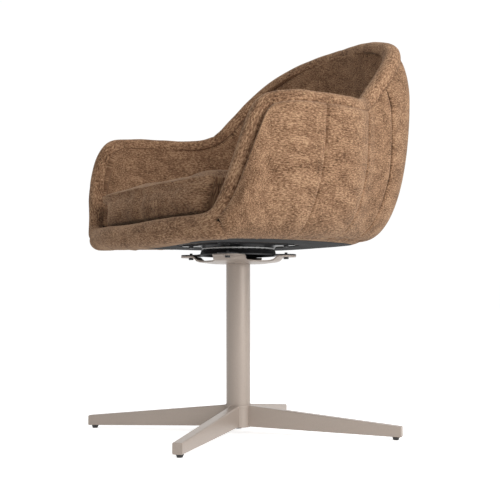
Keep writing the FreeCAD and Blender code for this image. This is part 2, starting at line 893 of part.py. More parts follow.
def seat_board():
    """Plywood board that carries the tub."""
    board = slab(lambda station: -board_inset, seat_level, lambda station: -board_inset,
                 board_top())
    board = drilled(board, seat_screw_radius + bolt_hole_clearance, plate_bolt_places(),
                    seat_level - 1, board_top() + 1)
    return drilled(board, tee_nut_radius + fit_clearance, plate_bolt_places(),
                   tee_nut_foot(), board_top() + 1)


def deck_pad():
    """Foam deck between the walls, pocketed over the tee nuts."""
    deck = slab(deck_foot_reach, board_top(), deck_top_reach, deck_top())
    return drilled(deck, tee_nut_flange_radius + seat_gap, plate_bolt_places(),
                   board_top() - 1, board_top() + tee_nut_flange + seat_gap)


def dust_cover():
    """Non-woven sheet stapled under the board, open round the swivel."""
    sheet_inset = -board_inset - 4
    cloth = slab(lambda station: sheet_inset, seat_level - cover_sheet,
                 lambda station: sheet_inset, seat_level)
    return cloth.cut(prism(cover_opening, ring_sides, seat_level - 2 * cover_sheet, seat_level + 1))


def cushion_outline(level, inset):
    """Ring of the cushion: a bowed front, and sides and back that follow the lining."""
    rise = (level - deck_top()) / (cushion_seam_level - deck_top())
    half = cushion_bottom_half_width + min(rise, 1) * (
        cushion_half_width - cushion_bottom_half_width) - inset
    front, corner = inset - cushion_front_reach, inset - cushion_front_corner
    points = [Vector(0, front, level), Vector(half * 0.25, front + 1, level),
              Vector(half * 0.5, front + 5, level), Vector(half * 0.74, front + 12, level),
              Vector(half - 24, corner - 5, level), Vector(half - 12, corner - 1, level),
              Vector(half - 4, corner + 6, level), Vector(half, corner + 20, level)]
    for share in (0.36, 0.4, 0.44, 0.48, 0.52, 0.56, 0.6, 0.64, 0.68, 0.72, 0.755, wing_share,
                  0.825, 0.88, 0.94, 1):
        station = Station(share, 1)
        reach = lining_reach(station, min(level, cushion_seam_level)) - cushion_gap
        place = station.at(reach, level)
        inward = Vector(place.x, place.y - 10, 0).normalize()
        points.append(place - inward * inset)
    return mirrored_loop(points)


def seat_cushion():
    """Loose box cushion: crowned on top, its sides drawn in between the seams."""
    low, seam = deck_top() + seat_gap, cushion_seam_level
    levels = [(low, 9), (low + 2, 4), (low + 6, 1), (low + (seam - low) * 0.5, cushion_pull_in),
              (seam - 5, 1), (seam, 0),
              (seam + cushion_crown * 0.25, 6), (seam + cushion_crown * 0.5, 20),
              (seam + cushion_crown * 0.75, 48), (seam + cushion_crown * 0.93, 90),
              (seam + cushion_crown, 130)]
    return skin([cushion_outline(level, inset) for level, inset in levels])


def write(name, shape):
    """Save one node."""
    shape.exportStep(os.path.join("parts", name + ".step"))
    print(name, "valid" if shape.isValid() else "INVALID", len(shape.Solids), "solids",
          round(shape.Volume / 1000.0, 2), "cm3")


def main():
    """Build and save every node."""
    os.makedirs("parts", exist_ok=True)
    leg_turns = [leg_turn + 360.0 / leg_count * number for number in range(leg_count)]
    corners = ["front_left", "back_left", "back_right", "front_right"]
    write("hub", hub())
    for corner, turn in zip(corners, leg_turns):
        write("leg_" + corner, leg(turn))
        write("glide_" + corner, glide(turn))
    write("glide_nuts", group([glide_nut(turn) for turn in leg_turns]))
    write("column", column())
    write("hub_bolt", hub_bolt())
    write("spider", spider())
    write("spider_bolts", group([spider_bolt(place) for place in plate_bolt_places()]))
    write("lower_swivel_plate", lower_swivel_plate())
    write("ball_cage", ball_cage())
    write("bearing_balls", group([ball(polar(race_radius, turn)) for turn in ball_places()]))
    write("upper_swivel_plate", upper_swivel_plate())
    write("swivel_pivot", swivel_pivot())
    write("pivot_nut", pivot_nut())
    write("seat_screws", group([seat_screw(place) for place in plate_bolt_places()]))
    write("tee_nuts", group([tee_nut(place) for place in plate_bolt_places()]))
    write("seat_board", seat_board())
    write("dust_cover", dust_cover())
    write("deck_pad", deck_pad())
    write("seat_shell", seat_shell())
    write("front_lip", front_lip())
    write("left_side_cover", side_cover(1))
    write("right_side_cover", side_cover(-1))
    write("back_cover", back_cover())
    write("left_lining", side_lining(1))
    write("right_lining", side_lining(-1))
    write("back_lining", back_lining())
    write("front_rim_band", front_band())
    write("left_arm_band", arm_band(1))
    write("right_arm_band", arm_band(-1))
    write("back_rim_band", back_band())
    write("seat_cushion", seat_cushion())


main()
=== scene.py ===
import logging
import math
from dataclasses import dataclass
from enum import Enum
from typing import Callable, Sequence

import bmesh
import bpy
import numpy as np
from mathutils import Matrix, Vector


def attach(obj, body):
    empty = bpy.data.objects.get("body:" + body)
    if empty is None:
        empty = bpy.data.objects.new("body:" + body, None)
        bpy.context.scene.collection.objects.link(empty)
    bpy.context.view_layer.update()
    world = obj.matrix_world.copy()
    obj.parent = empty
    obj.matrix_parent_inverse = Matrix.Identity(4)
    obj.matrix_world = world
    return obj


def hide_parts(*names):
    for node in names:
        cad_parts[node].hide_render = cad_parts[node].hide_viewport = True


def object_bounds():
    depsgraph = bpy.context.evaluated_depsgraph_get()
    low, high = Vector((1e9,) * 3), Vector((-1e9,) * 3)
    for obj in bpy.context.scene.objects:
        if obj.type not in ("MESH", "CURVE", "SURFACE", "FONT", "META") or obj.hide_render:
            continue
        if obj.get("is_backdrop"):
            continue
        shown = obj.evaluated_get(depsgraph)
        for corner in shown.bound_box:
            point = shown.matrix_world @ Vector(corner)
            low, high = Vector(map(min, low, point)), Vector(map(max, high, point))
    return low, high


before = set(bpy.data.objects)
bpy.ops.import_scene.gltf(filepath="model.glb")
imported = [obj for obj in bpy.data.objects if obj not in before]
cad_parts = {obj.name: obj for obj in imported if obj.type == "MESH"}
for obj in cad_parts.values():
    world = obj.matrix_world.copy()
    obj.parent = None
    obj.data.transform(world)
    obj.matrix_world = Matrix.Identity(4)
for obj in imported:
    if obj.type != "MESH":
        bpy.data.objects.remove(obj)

LOG = logging.getLogger("chair")
MM = 0.001
TINY = 1e-9
CLOTH_LAYER = "cloth"
Array = np.ndarray
Pairs = Sequence[tuple[float, float]]
Place = tuple[float, float, float]
Socket = bpy.types.NodeSocket


class Slot(Enum):
    """Material slots of the record."""

    FRAME = "frame_paint"
    BLACK = "black_steel"
    ZINC = "zinc"
    BALLS = "ball_steel"
    PLASTIC = "glide_plastic"
    PLYWOOD = "plywood"
    SHELL = "shell_plastic"
    CLOTH = "black_cloth"
    CHENILLE = "chenille"


class Body(Enum):
    """Moving bodies of the record."""

    BASE = "base"
    CAGE = "cage"
    SEAT = "seat"


# ---------------------------------------------------------------- numbers


def table(pairs: Pairs, share: Array) -> Array:
    """Value at each share of the way round.

    Args:
        pairs: Shares in rising order, each with its value.
        share: Shares to look up.

    Returns:
        The values, in straight lines between the pairs.
    """
    keys, values = np.array(pairs, float).T
    return np.interp(share, keys, values)


def unit(vectors: Array) -> Array:
    """Vectors at length one.

    Args:
        vectors: Array whose last axis holds the components.

    Returns:
        Array of the same shape.
    """
    return vectors / np.maximum(np.linalg.norm(vectors, axis=-1, keepdims=True), TINY)


def blend(start: Array, end: Array, part: Array) -> Array:
    """Value on the straight way from one value to another.

    Args:
        start: Value at part 0.
        end: Value at part 1.
        part: Share of the way.

    Returns:
        The values.
    """
    return start + (end - start) * part


def bowed(start: Array, end: Array, middle: Array, part: Array) -> Array:
    """Value on a parabola.

    Args:
        start: Value at part 0.
        end: Value at part 1.
        middle: Value at part 0.5.
        part: Share of the way.

    Returns:
        The values.
    """
    return blend(start, end, part) + (middle - (start + end) / 2) * 4 * part * (1 - part)


def smooth_step(value: Array) -> Array:
    """Blend from 0 to 1 without a kink.

    Args:
        value: Numbers, cut to the range 0 to 1.

    Returns:
        The eased numbers.
    """
    part = np.clip(value, 0, 1)
    return part * part * (3 - 2 * part)


def run_length(points: Array) -> Array:
    """Length along a line of points.

    Args:
        points: Points in order.

    Returns:
        Length from the first point to each.
    """
    return np.r_[0, np.cumsum(np.linalg.norm(np.diff(points, axis=0), axis=1))]


@dataclass(frozen=True)
class Valley:
    """Pinched line in the cloth, by half width and depth in millimetres."""

    width: float
    depth: float
    power: float = 1.15

    def at(self, distance: Array) -> Array:
        """Depth beside the line.

        Args:
            distance: Distance from the line in millimetres.

        Returns:
            Depth in millimetres.
        """
        return self.depth * np.exp(-np.abs(distance) / self.width) ** self.power


@dataclass(frozen=True)
class Rumple:
    """Irregular unevenness, by depth, typical length of a wave in metres and seed."""

    depth: float
    scale: float
    seed: int = 0
    count: int = 9
    spread: tuple[float, float] = (0.6, 1.8)

    def at(self, first: Array, second: Array, seed: int = 0) -> Array:
        """Sum of waves in random directions.

        Args:
            first: One coordinate in metres.
            second: Other coordinate in metres.
            seed: Number added to the own seed.

        Returns:
            Numbers mostly between minus and plus the depth.
        """
        random = np.random.default_rng(self.seed + seed)
        total = np.zeros(np.broadcast(first, second).shape)
        for _ in range(self.count):
            angle, phase = random.uniform(0, 2 * np.pi, 2)
            rate = 2 * np.pi / (self.scale * random.uniform(*self.spread))
            total += np.sin(rate * (first * np.cos(angle) + second * np.sin(angle)) + phase)
        return self.depth * total / math.sqrt(self.count)


# ---------------------------------------------------------------- lines of the tub


@dataclass(frozen=True)
class TubSize:
    """Driving lines of the tub, in millimetres, on the +X side from front to back.

    Each line runs through its points; the tables hold a share of the half rim and a value.
    """

    rim: Sequence[Place] = (
        (0, -246, 409), (119.07, -239, 412), (200, -221, 414), (243, -210, 421), (281, -194, 479),
        (309, -168, 585), (313, -144, 622), (322, -118, 631), (322, -34, 638), (308, 52, 640),
        (276, 107, 651), (261, 155, 694), (228, 227, 775), (136.8, 258, 812), (0, 284, 827))
    base: Sequence[Place] = (
        (0, -217, 378), (119.5, -213, 381), (211, -209, 384), (232, -202, 384), (239, -185, 385),
        (240, -115, 388), (239, -20, 391.5), (202, 129, 397), (150, 206, 397), (105, 223, 397),
        (0, 234, 397))
    base_share: Pairs = ((0, 0), (0.214, 0.287), (0.51, 0.51), (0.64, 0.70), (0.79, 0.815), (1, 1))
    half: Pairs = ((0, 15), (0.64, 16), (0.79, 19), (1, 19))
    bulge: Pairs = ((0, 3), (0.233, 6), (0.30, 14), (0.58, 14), (0.64, 11), (0.79, 18), (1, 18))
    high: Pairs = ((0, 620), (0.64, 620), (0.79, 692), (1, 692))
    seam_drop: float = 6.0
    swell_drop: float = 6.0
    swell_at: float = 0.75
    roundness: float = 2.2
    bow_reach: float = 0.35
    bow_level: float = 0.6
    board_top: float = 407.0
    deck_top: float = 425.5
    wall: float = 50.0
    inner_marks: Sequence[Place] = ((66.0, 0.96, 0.28), (45.0, 0.83, 0.5))
    knee_gap: float = 3.0
    foot_gap: float = 0.3
    inner_bulge: float = 4.0
    tuck_in: float = 27.0
    tuck_level: float = 390.6
    draw_from: float = 0.35
    scallop_rates: tuple[float, float] = (62.0, 173.0)
    scallop_shares: tuple[float, float] = (1.8, 0.9)
    scallop_fade: float = 0.035


class Line:
    """Smooth curve through points, square to the chair's middle at both ends."""

    def __init__(self, points: Sequence[Place], samples: int = 3000) -> None:
        """Solve the cubic spline and tabulate it by length.

        Args:
            points: Points that the curve passes through.
            samples: Number of places in the table.
        """
        knots = np.array(points, float)
        chord = run_length(knots)
        count, gap = len(knots), np.diff(chord)
        system, right = np.zeros((count, count)), np.zeros((count, 3))
        system[0, 0] = system[-1, -1] = 1
        right[0], right[-1] = (1, 0, 0), (-1, 0, 0)
        slope = np.diff(knots, axis=0) / gap[:, None]
        for row in range(1, count - 1):
            before, after = gap[row - 1], gap[row]
            system[row, row - 1:row + 2] = after, 2 * (before + after), before
            right[row] = 3 * (after * slope[row - 1] + before * slope[row])
        tangent = np.linalg.solve(system, right)
        at = np.linspace(0, chord[-1], samples)
        span = np.clip(np.searchsorted(chord, at, side="right") - 1, 0, count - 2)
        width = gap[span][:, None]
        part = (at - chord[span])[:, None] / width
        eased = 3 * part**2 - 2 * part**3
        leave, arrive = tangent[span] * width, tangent[span + 1] * width
        self.place = (blend(knots[span], knots[span + 1], eased)
                      + (part**3 - 2 * part**2 + part) * leave + (part**3 - part**2) * arrive)
        length = run_length(self.place)
        self.length = float(length[-1])
        self.share = length / self.length
        self.direction = unit(np.gradient(self.place, axis=0))
        self.direction[0], self.direction[-1] = (1, 0, 0), (-1, 0, 0)

    def at(self, share: Array) -> tuple[Array, Array]:
        """Place and direction at shares of the length.

        Args:
            share: Shares from 0 to 1.

        Returns:
            Points and unit tangents.
        """
        place, along = (np.stack([np.interp(share, self.share, column) for column in known.T], -1)
                        for known in (self.place, self.direction))
        return place, unit(along)


class Wall:
    """Upright sections through the tub's wall at many shares at once.

    Negative shares and those above 1 stand for the other side of the chair.
    """

    def __init__(self, size: TubSize, rim: Line, base: Line, share: Array) -> None:
        """Work out the sections.

        Args:
            size: Driving sizes of the tub.
            rim: Centreline of the bead.
            base: Lower edge of the tub.
            share: Signed shares of the half rim.
        """
        self.size = size
        folded = np.abs(share)
        self.side = np.where((share < 0) | (folded > 1), -1.0, 1.0)
        self.share = np.where(folded > 1, 2 - folded, folded)
        self.rim, along = rim.at(self.share)
        self.base, below = base.at(table(size.base_share, self.share))
        self.foot_level = self.base[..., 2]
        flat = (along + below)[..., :2]
        self.out = unit(np.stack([flat[..., 1], -flat[..., 0], np.zeros_like(flat[..., 0])], -1))
        crest = -np.cross(along, self.out)
        self.crest = unit(crest * np.sign(crest[..., 2:3] + TINY))
        self.half = table(size.half, self.share)
        seam = self.rim + self.out * self.half[..., None] - self.crest * size.seam_drop
        self.seam_level = seam[..., 2]
        self.swell_level = np.minimum(self.seam_level - size.swell_drop, table(size.high, self.share))
        swell = self.rim + self.out * (self.half + table(size.bulge, self.share))[..., None]
        across = np.zeros_like(swell)
        across[..., :2] = (swell - self.base)[..., :2]
        self.width = np.linalg.norm(across, axis=-1)
        self.across = unit(across)
        rise = seam - self.base
        self.reach_seam = np.sum(rise[..., :2] * self.across[..., :2], axis=-1)
        drift = rise - self.across * self.reach_seam[..., None]
        self.drift = drift / rise[..., 2:3]
        self.drift[..., 2] = 0

    def at(self, reach: Array, level: Array) -> Array:
        """Points by reach out from the lower edge and level.

        Args:
            reach: Distance outward in each section.
            level: Height above the floor.

        Returns:
            Points on their own side of the chair, in millimetres.
        """
        rise = (level - self.foot_level)[..., None]
        points = self.base + self.across * reach[..., None] + self.drift * rise
        points[..., 2] = level
        return self.turned(points)

    def turned(self, points: Array) -> Array:
        """Points of the +X side, moved to each section's own side.

        Args:
            points: Points in millimetres.

        Returns:
            The mirrored points.
        """
        result = points.copy()
        result[..., 0] *= self.side
        return result

    def outer(self, degrees: Array) -> tuple[Array, Array]:
        """Outer curve from the lower edge to the swell.

        Args:
            degrees: 0 at the lower edge, 90 at the swell.

        Returns:
            Reach and level.
        """
        power, angle = 2 / self.size.roundness, np.radians(degrees)
        rise = 1 - np.clip(np.cos(angle), 0, 1) ** power
        return self.width * np.sin(angle) ** power, blend(self.foot_level, self.swell_level, rise)

    def tucked(self, height: Array, reach: Array, level: Array) -> tuple[Array, Array]:
        """Cloth folded inward under the board below height 0.

        Args:
            height: 0 at the lower edge, -1 at the end of the cloth.
            reach: Reach without the fold.
            level: Level without the fold.

        Returns:
            Reach and level.
        """
        tuck = np.clip(-height, 0, 1)
        rise = (self.size.tuck_level - self.foot_level) * np.sin(tuck * np.pi / 2)
        return reach - self.size.tuck_in * tuck, level + rise

    def cover(self, height: Array, deep: Array) -> Array:
        """Outer panel.

        Args:
            height: 0 at the lower edge, 1 at the seam under the bead; below 0 it wraps inward
                under the board, down to -1.
            deep: How far each point is drawn in.

        Returns:
            Points in millimetres.
        """
        size = self.size
        reach, level = self.outer(90 * np.clip(height / size.swell_at, 0, 1))
        part = np.clip((height - size.swell_at) / (1 - size.swell_at), 0, 1)
        above = height > size.swell_at
        bow_reach = blend(self.width, self.reach_seam, size.bow_reach)
        bow_level = blend(self.swell_level, self.seam_level, size.bow_level)
        reach = np.where(above, bowed(self.width, self.reach_seam, bow_reach, part), reach)
        level = np.where(above, bowed(self.swell_level, self.seam_level, bow_level, part), level)
        reach, level = self.tucked(height, reach, level)
        reach = reach - deep * np.clip(size.draw_from + height, 0, 1)
        (slow, fast), (high, low) = size.scallop_rates, size.scallop_shares
        scallop = high * np.abs(np.sin(self.share * slow)) + low * np.sin(self.share * fast)
        return self.at(reach, level + scallop * np.exp(-(height / size.scallop_fade) ** 2))

    def inside(self, level: Array) -> Array:
        """Reach of the wall's inner side, one thickness in from the outer curve.

        Args:
            level: Height asked for.

        Returns:
            Reach at that level.
        """
        size, whole = self.size, np.ones_like(self.width)
        reach = [self.reach_seam - 2 * self.half, self.width - size.wall]
        marks = [self.seam_level, self.swell_level]
        for angle, drawn, raised in size.inner_marks:
            outer_reach, outer_level = self.outer(whole * angle)
            reach.append(outer_reach - size.wall * drawn)
            marks.append(outer_level + size.wall * raised)
        marks[-1] = np.maximum(marks[-1], size.board_top + size.knee_gap)
        reach.append(whole * -size.wall)
        marks.append(whole * (size.board_top + size.foot_gap))
        result = reach[-1]
        for above, below, high, low in zip(reach[-2::-1], reach[:0:-1], marks[-2::-1], marks[:0:-1]):
            part = np.clip((level - low) / np.maximum(high - low, TINY), 0, 1)
            result = np.where(level >= low, blend(below, above, part), result)
        return result

    def lining_reach(self, level: Array) -> Array:
        """Reach of the lining's face.

        Args:
            level: Height asked for.

        Returns:
            Reach at that level, on a parabola from the deck to the inner seam.
        """
        foot = self.size.deck_top + self.size.foot_gap
        low, high = self.inside(np.full_like(self.width, foot)), self.reach_seam - 2 * self.half
        middle = self.inside((foot + self.seam_level) / 2) - self.size.inner_bulge
        return bowed(low, high, middle, (level - foot) / (self.seam_level - foot))


# ---------------------------------------------------------------- meshes


@dataclass
class Grid:
    """Sheet of points in rows and columns, in millimetres, with cloth coordinates in metres."""

    points: Array
    across: Array | None = None
    up: Array | None = None
    ring_rows: bool = False
    ring_columns: bool = False

    def faces(self) -> Array:
        """Quads of the sheet.

        Returns:
            Four vertex numbers per quad.
        """
        rows, columns = self.points.shape[:2]
        row, column = np.meshgrid(np.arange(rows if self.ring_rows else rows - 1),
                                  np.arange(columns if self.ring_columns else columns - 1), indexing="ij")
        next_row, next_column = (row + 1) % rows * columns, (column + 1) % columns
        row = row * columns
        return np.stack([row + column, row + next_column, next_row + next_column, next_row + column],
                        -1).reshape(-1, 4)


def new_object(name: str, points: Array, groups: Sequence[Array], coordinates: Array | None = None
               ) -> bpy.types.Object:
    """Make a smooth mesh object at the origin.

    Args:
        name: Object name.
        points: Vertices in metres, one per row.
        groups: Arrays of faces, each with as many vertex numbers per row as its faces have sides.
        coordinates: Cloth coordinates per vertex, in metres.

    Returns:
        The object, linked to the scene.
    """
    mesh = bpy.data.meshes.new(name)
    corners = np.concatenate([group.ravel() for group in groups]).astype(np.int32)
    sides = np.concatenate([np.full(len(group), group.shape[1], np.int32) for group in groups])
    mesh.vertices.add(len(points))
    mesh.vertices.foreach_set("co", np.ascontiguousarray(points, np.float32).ravel())
    mesh.loops.add(len(corners))
    mesh.loops.foreach_set("vertex_index", corners)
    mesh.polygons.add(len(sides))
    mesh.polygons.foreach_set("loop_start", (np.cumsum(sides) - sides).astype(np.int32))
    mesh.polygons.foreach_set("use_smooth", np.ones(len(sides), bool))
    if coordinates is not None:
        layer = mesh.uv_layers.new(name=CLOTH_LAYER)
        layer.data.foreach_set("uv", coordinates[corners].astype(np.float32).ravel())
    mesh.update(calc_edges=True)
    mesh.validate()
    made = bpy.data.objects.new(name, mesh)
    bpy.context.scene.collection.objects.link(made)
    return made


def outward(made: bpy.types.Object) -> bpy.types.Object:
    """Turn a closed solid's faces outward.

    Args:
        made: Object to mend.

    Returns:
        The object.
    """
    work = bmesh.new()
    work.from_mesh(made.data)
    bmesh.ops.recalc_face_normals(work, faces=work.faces)
    work.to_mesh(made.data)
    work.free()
    return made


def grid_object(name: str, grid: Grid) -> bpy.types.Object:
    """Make an object from a sheet of points.

    Args:
        name: Object name.
        grid: Points and cloth coordinates.

    Returns:
        The object.
    """
    coordinates = None if grid.across is None else np.stack([grid.across, grid.up], -1).reshape(-1, 2)
    return new_object(name, grid.points.reshape(-1, 3) * MM, [grid.faces()], coordinates)


def sheet_object(name: str, grid: Grid, thickness: float, centre: Place,
                 toward: bool = False) -> bpy.types.Object:
    """Make a cloth sheet of some thickness.

    Args:
        name: Object name.
        grid: Points and cloth coordinates.
        thickness: Thickness in millimetres, added behind the face.
        centre: Point in metres that the face looks away from.
        toward: The face looks toward the centre instead.

    Returns:
        The object.
    """
    made = grid_object(name, grid)
    normals, places = np.zeros((2, len(made.data.polygons) * 3))
    made.data.polygons.foreach_get("normal", normals)
    made.data.polygons.foreach_get("center", places)
    away = places.reshape(-1, 3) - np.array(centre)
    if (np.sum(normals.reshape(-1, 3) * away) < 0) != toward:
        made.data.flip_normals()
    solid = made.modifiers.new("thickness", "SOLIDIFY")
    solid.thickness, solid.offset = thickness * MM, -1
    solid.use_even_offset = False
    return made


def turned_object(name: str, radius: Array, level: Array, sides: int) -> bpy.types.Object:
    """Solid of revolution, or a plate with arms.

    Args:
        name: Object name.
        radius: Radius of each row of a closed profile, or of each row and column.
        level: Level in the same form.
        sides: Number of columns.

    Returns:
        The object.
    """
    angle = np.arange(sides) * 2 * np.pi / sides
    points = np.stack(np.broadcast_arrays(radius * np.cos(angle), radius * np.sin(angle), level), -1)
    return outward(grid_object(name, Grid(points, ring_rows=True, ring_columns=True)))


def bevel(made: bpy.types.Object, width: float, angle: float) -> bpy.types.Object:
    """Round an object's edges in two steps.

    Args:
        made: Object.
        width: Width of the rounding in millimetres.
        angle: Sharpest angle left alone, in degrees.

    Returns:
        The object.
    """
    rounding = made.modifiers.new("edges", "BEVEL")
    rounding.width, rounding.segments = width * MM, 2
    rounding.limit_method, rounding.angle_limit = "ANGLE", math.radians(angle)
    rounding.harden_normals = True
    return made


# ---------------------------------------------------------------- finishes


class Nodes:
    """Short forms for building node trees."""

    def __init__(self, tree: bpy.types.NodeTree) -> None:
        """Keep the tree.

        Args:
            tree: Node tree that gets the nodes.
        """
        self.tree = tree

    def feed(self, node: bpy.types.Node, inputs: dict[str | int, object]) -> None:
        """Set or link inputs.

        Args:
            node: Node that gets them.
            inputs: Values, or sockets to link, by name or number of the input.
        """
        for key, value in inputs.items():
            if isinstance(value, Socket):
                self.tree.links.new(value, node.inputs[key])
            else:
                node.inputs[key].default_value = value

    def add(self, kind: str, inputs: dict[str | int, object], output: str | int = 0,
            **settings: str) -> Socket:
        """Add a node.

        Args:
            kind: Node type without its prefix.
            inputs: Values or sockets by input.
            output: Name or number of the output wanted.
            settings: Properties of the node.

        Returns:
            The output.
        """
        node = self.tree.nodes.new("ShaderNode" + kind)
        for key, value in settings.items():
            setattr(node, key, value)
        self.feed(node, inputs)
        return node.outputs[output]

    def math(self, kind: str, *values: float | Socket) -> Socket:
        """Calculate.

        Args:
            kind: Operation.
            values: Numbers or sockets.

        Returns:
            The result.
        """
        return self.add("Math", dict(enumerate(values)), operation=kind)

    def noise(self, source: Socket, scale: Place, detail: float, swirl: float = 0) -> Socket:
        """Noise value.

        Args:
            source: Coordinates.
            scale: Features per unit on each axis.
            detail: Number of octaves.
            swirl: Amount of distortion.

        Returns:
            The value, from 0 to 1.
        """
        mapped = self.add("Mapping", {"Vector": source, "Scale": scale}, "Vector")
        inputs = {"Vector": mapped, "Scale": 1.0, "Detail": detail, "Distortion": swirl}
        return self.add("TexNoise", inputs, "Fac")

    def ramp(self, source: Socket, places: Sequence[float], colours: Sequence[Place]) -> Socket:
        """Colour by value.

        Args:
            source: Value.
            places: Values of the stops.
            colours: Their colours.

        Returns:
            The colour.
        """
        node = self.tree.nodes.new("ShaderNodeValToRGB")
        elements = node.color_ramp.elements
        while len(elements) < len(places):
            elements.new(places[-1])
        for element, place, colour in zip(elements, places, colours):
            element.position, element.color = place, (*colour, 1)
        self.feed(node, {"Fac": source})
        return node.outputs["Color"]

    def seen_directly(self, extra: float, always: float) -> Socket:
        """Strength that is higher for rays from the camera, in mirrors and through glass.

        Args:
            extra: Strength added for those rays.
            always: Strength for all rays.

        Returns:
            The strength.
        """
        rays = self.tree.nodes.new("ShaderNodeLightPath").outputs
        seen = self.math("MAXIMUM", rays["Is Camera Ray"], rays["Is Glossy Ray"])
        seen = self.math("MAXIMUM", seen, rays["Is Transmission Ray"])
        return self.math("MULTIPLY_ADD", seen, extra, always)


def surface(name: str, colour: Callable[[Nodes], tuple[Socket, Socket]], relief: tuple[float, float],
            looks: dict[str, object]) -> bpy.types.Material:
    """Material with a patterned colour and a raised surface.

    Args:
        name: Material name.
        colour: Adds the pattern's nodes and gives its colour and height.
        relief: Height in metres and strength of the raising.
        looks: Other inputs of the shader.

    Returns:
        The material.
    """
    material = bpy.data.materials.new(name)
    material.use_nodes = True
    nodes = Nodes(material.node_tree)
    tint, height = colour(nodes)
    bump = nodes.add("Bump", {"Height": height, "Distance": relief[0], "Strength": relief[1]}, "Normal")
    nodes.feed(nodes.tree.nodes["Principled BSDF"], {"Base Color": tint, "Normal": bump, **looks})
    return material


@dataclass(frozen=True)
class Layer:
    """Noise in the cloth: features per metre both ways, share of the whole, octaves and swirl."""

    across: float
    up: float
    share: float
    detail: float
    swirl: float = 0.0

    def value(self, nodes: Nodes, cloth: Socket) -> Socket:
        """Noise value.

        Args:
            nodes: Node tree.
            cloth: Cloth coordinates.

        Returns:
            The value, from 0 to 1.
        """
        return nodes.noise(cloth, (self.across, self.up, 1), self.detail, self.swirl)


@dataclass(frozen=True)
class Chenille:
    """Mottled brown chenille with slubs along the weft, and light golden flecks that are painted highlights:
    glints of the pile.
    """

    colours: Sequence[Place] = ((0.070, 0.033, 0.017), (0.225, 0.122, 0.068), (0.48, 0.30, 0.18))
    places: Sequence[float] = (0.47, 0.60, 0.74)
    layers: Sequence[Layer] = (Layer(171.875, 458.333, 0.58, 3, 0.35), Layer(420, 900, 0.22, 2),
                               Layer(26, 46, 0.30, 6, 0.5), Layer(7, 7, 0.10, 2))
    # Painted highlight: light golden flecks scattered by noise stand in for glints of the pile.
    painted_glint: Place = (0.46, 0.30, 0.17)
    painted_glint_layer: Layer = Layer(160, 420, 0.75, 1)
    painted_glint_places: Sequence[float] = (0.60, 0.70)
    relief: tuple[float, float] = (0.0016, 0.9)
    roughness: float = 0.95
    specular: float = 0.15
    sheen: tuple[float, float] = (0.25, 0.5)
    sheen_tint: Place = (0.80, 0.62, 0.45)

    def pattern(self, nodes: Nodes) -> tuple[Socket, Socket]:
        """Colour and height of the threads.

        Args:
            nodes: Node tree.

        Returns:
            Colour and height.
        """
        cloth, value = nodes.add("UVMap", {}, "UV", uv_map=CLOTH_LAYER), 0.0
        for layer in self.layers:
            value = nodes.math("MULTIPLY_ADD", layer.value(nodes, cloth), layer.share, value)
        threads = nodes.ramp(value, self.places, self.colours)
        # Mask of the painted highlight flecks (glints of the pile), mixed over the threads.
        painted_glint_mask = nodes.ramp(self.painted_glint_layer.value(nodes, cloth), self.painted_glint_places,
                          [(0, 0, 0), (self.painted_glint_layer.share,) * 3])
        mixed = {0: painted_glint_mask, 6: threads, 7: (*self.painted_glint, 1)}
        return nodes.add("Mix", mixed, 2, data_type="RGBA", blend_type="MIX"), value

    def build(self) -> bpy.types.Material:
        """Build the material.

        Returns:
            The material.
        """
        looks = {"Roughness": self.roughness, "Specular IOR Level": self.specular,
                 "Sheen Weight": self.sheen[0], "Sheen Roughness": self.sheen[1],
                 "Sheen Tint": (*self.sheen_tint, 1)}
        return surface("chenille", self.pattern, self.relief, looks)


@dataclass(frozen=True)
class Paint:
    """Coat, metal, plastic or wood with a grain between two colours."""

    name: str
    low: Place
    high: Place
    roughness: float
    metallic: float = 0.0
    grain: Place = (900, 900, 900)
    detail: float = 3
    swirl: float = 0.0
    places: Sequence[float] = (0.3, 0.7)
    relief: tuple[float, float] = (0.00004, 0.5)

    @classmethod
    def even(cls, name: str, colour: Place, roughness: float, metallic: float = 0.0, grain: float = 900,
             depth: float = 0.00004, spread: float = 0.08) -> "Paint":
        """Paint of one colour with a fine texture.

        Args:
            name: Material name.
            colour: Colour.
            roughness: Roughness.
            metallic: Metallic share.
            grain: Features per metre.
            depth: Height of the texture in metres.
            spread: Share by which the colour varies both ways.

        Returns:
            The paint.
        """
        low = tuple(value * (1 - spread) for value in colour)
        high = tuple(min(value * (1 + spread), 1) for value in colour)
        return cls(name, low, high, roughness, metallic, (grain,) * 3, relief=(depth, cls.relief[1]))

    def pattern(self, nodes: Nodes) -> tuple[Socket, Socket]:
        """Colour and height of the grain.

        Args:
            nodes: Node tree.

        Returns:
            Colour and height.
        """
        place = nodes.add("TexCoord", {}, "Object")
        grain = nodes.noise(place, self.grain, self.detail, self.swirl)
        return nodes.ramp(grain, self.places, (self.low, self.high)), grain

    def build(self) -> bpy.types.Material:
        """Build the material.

        Returns:
            The material.
        """
        looks = {"Roughness": self.roughness, "Metallic": self.metallic}
        return surface(self.name, self.pattern, self.relief, looks)


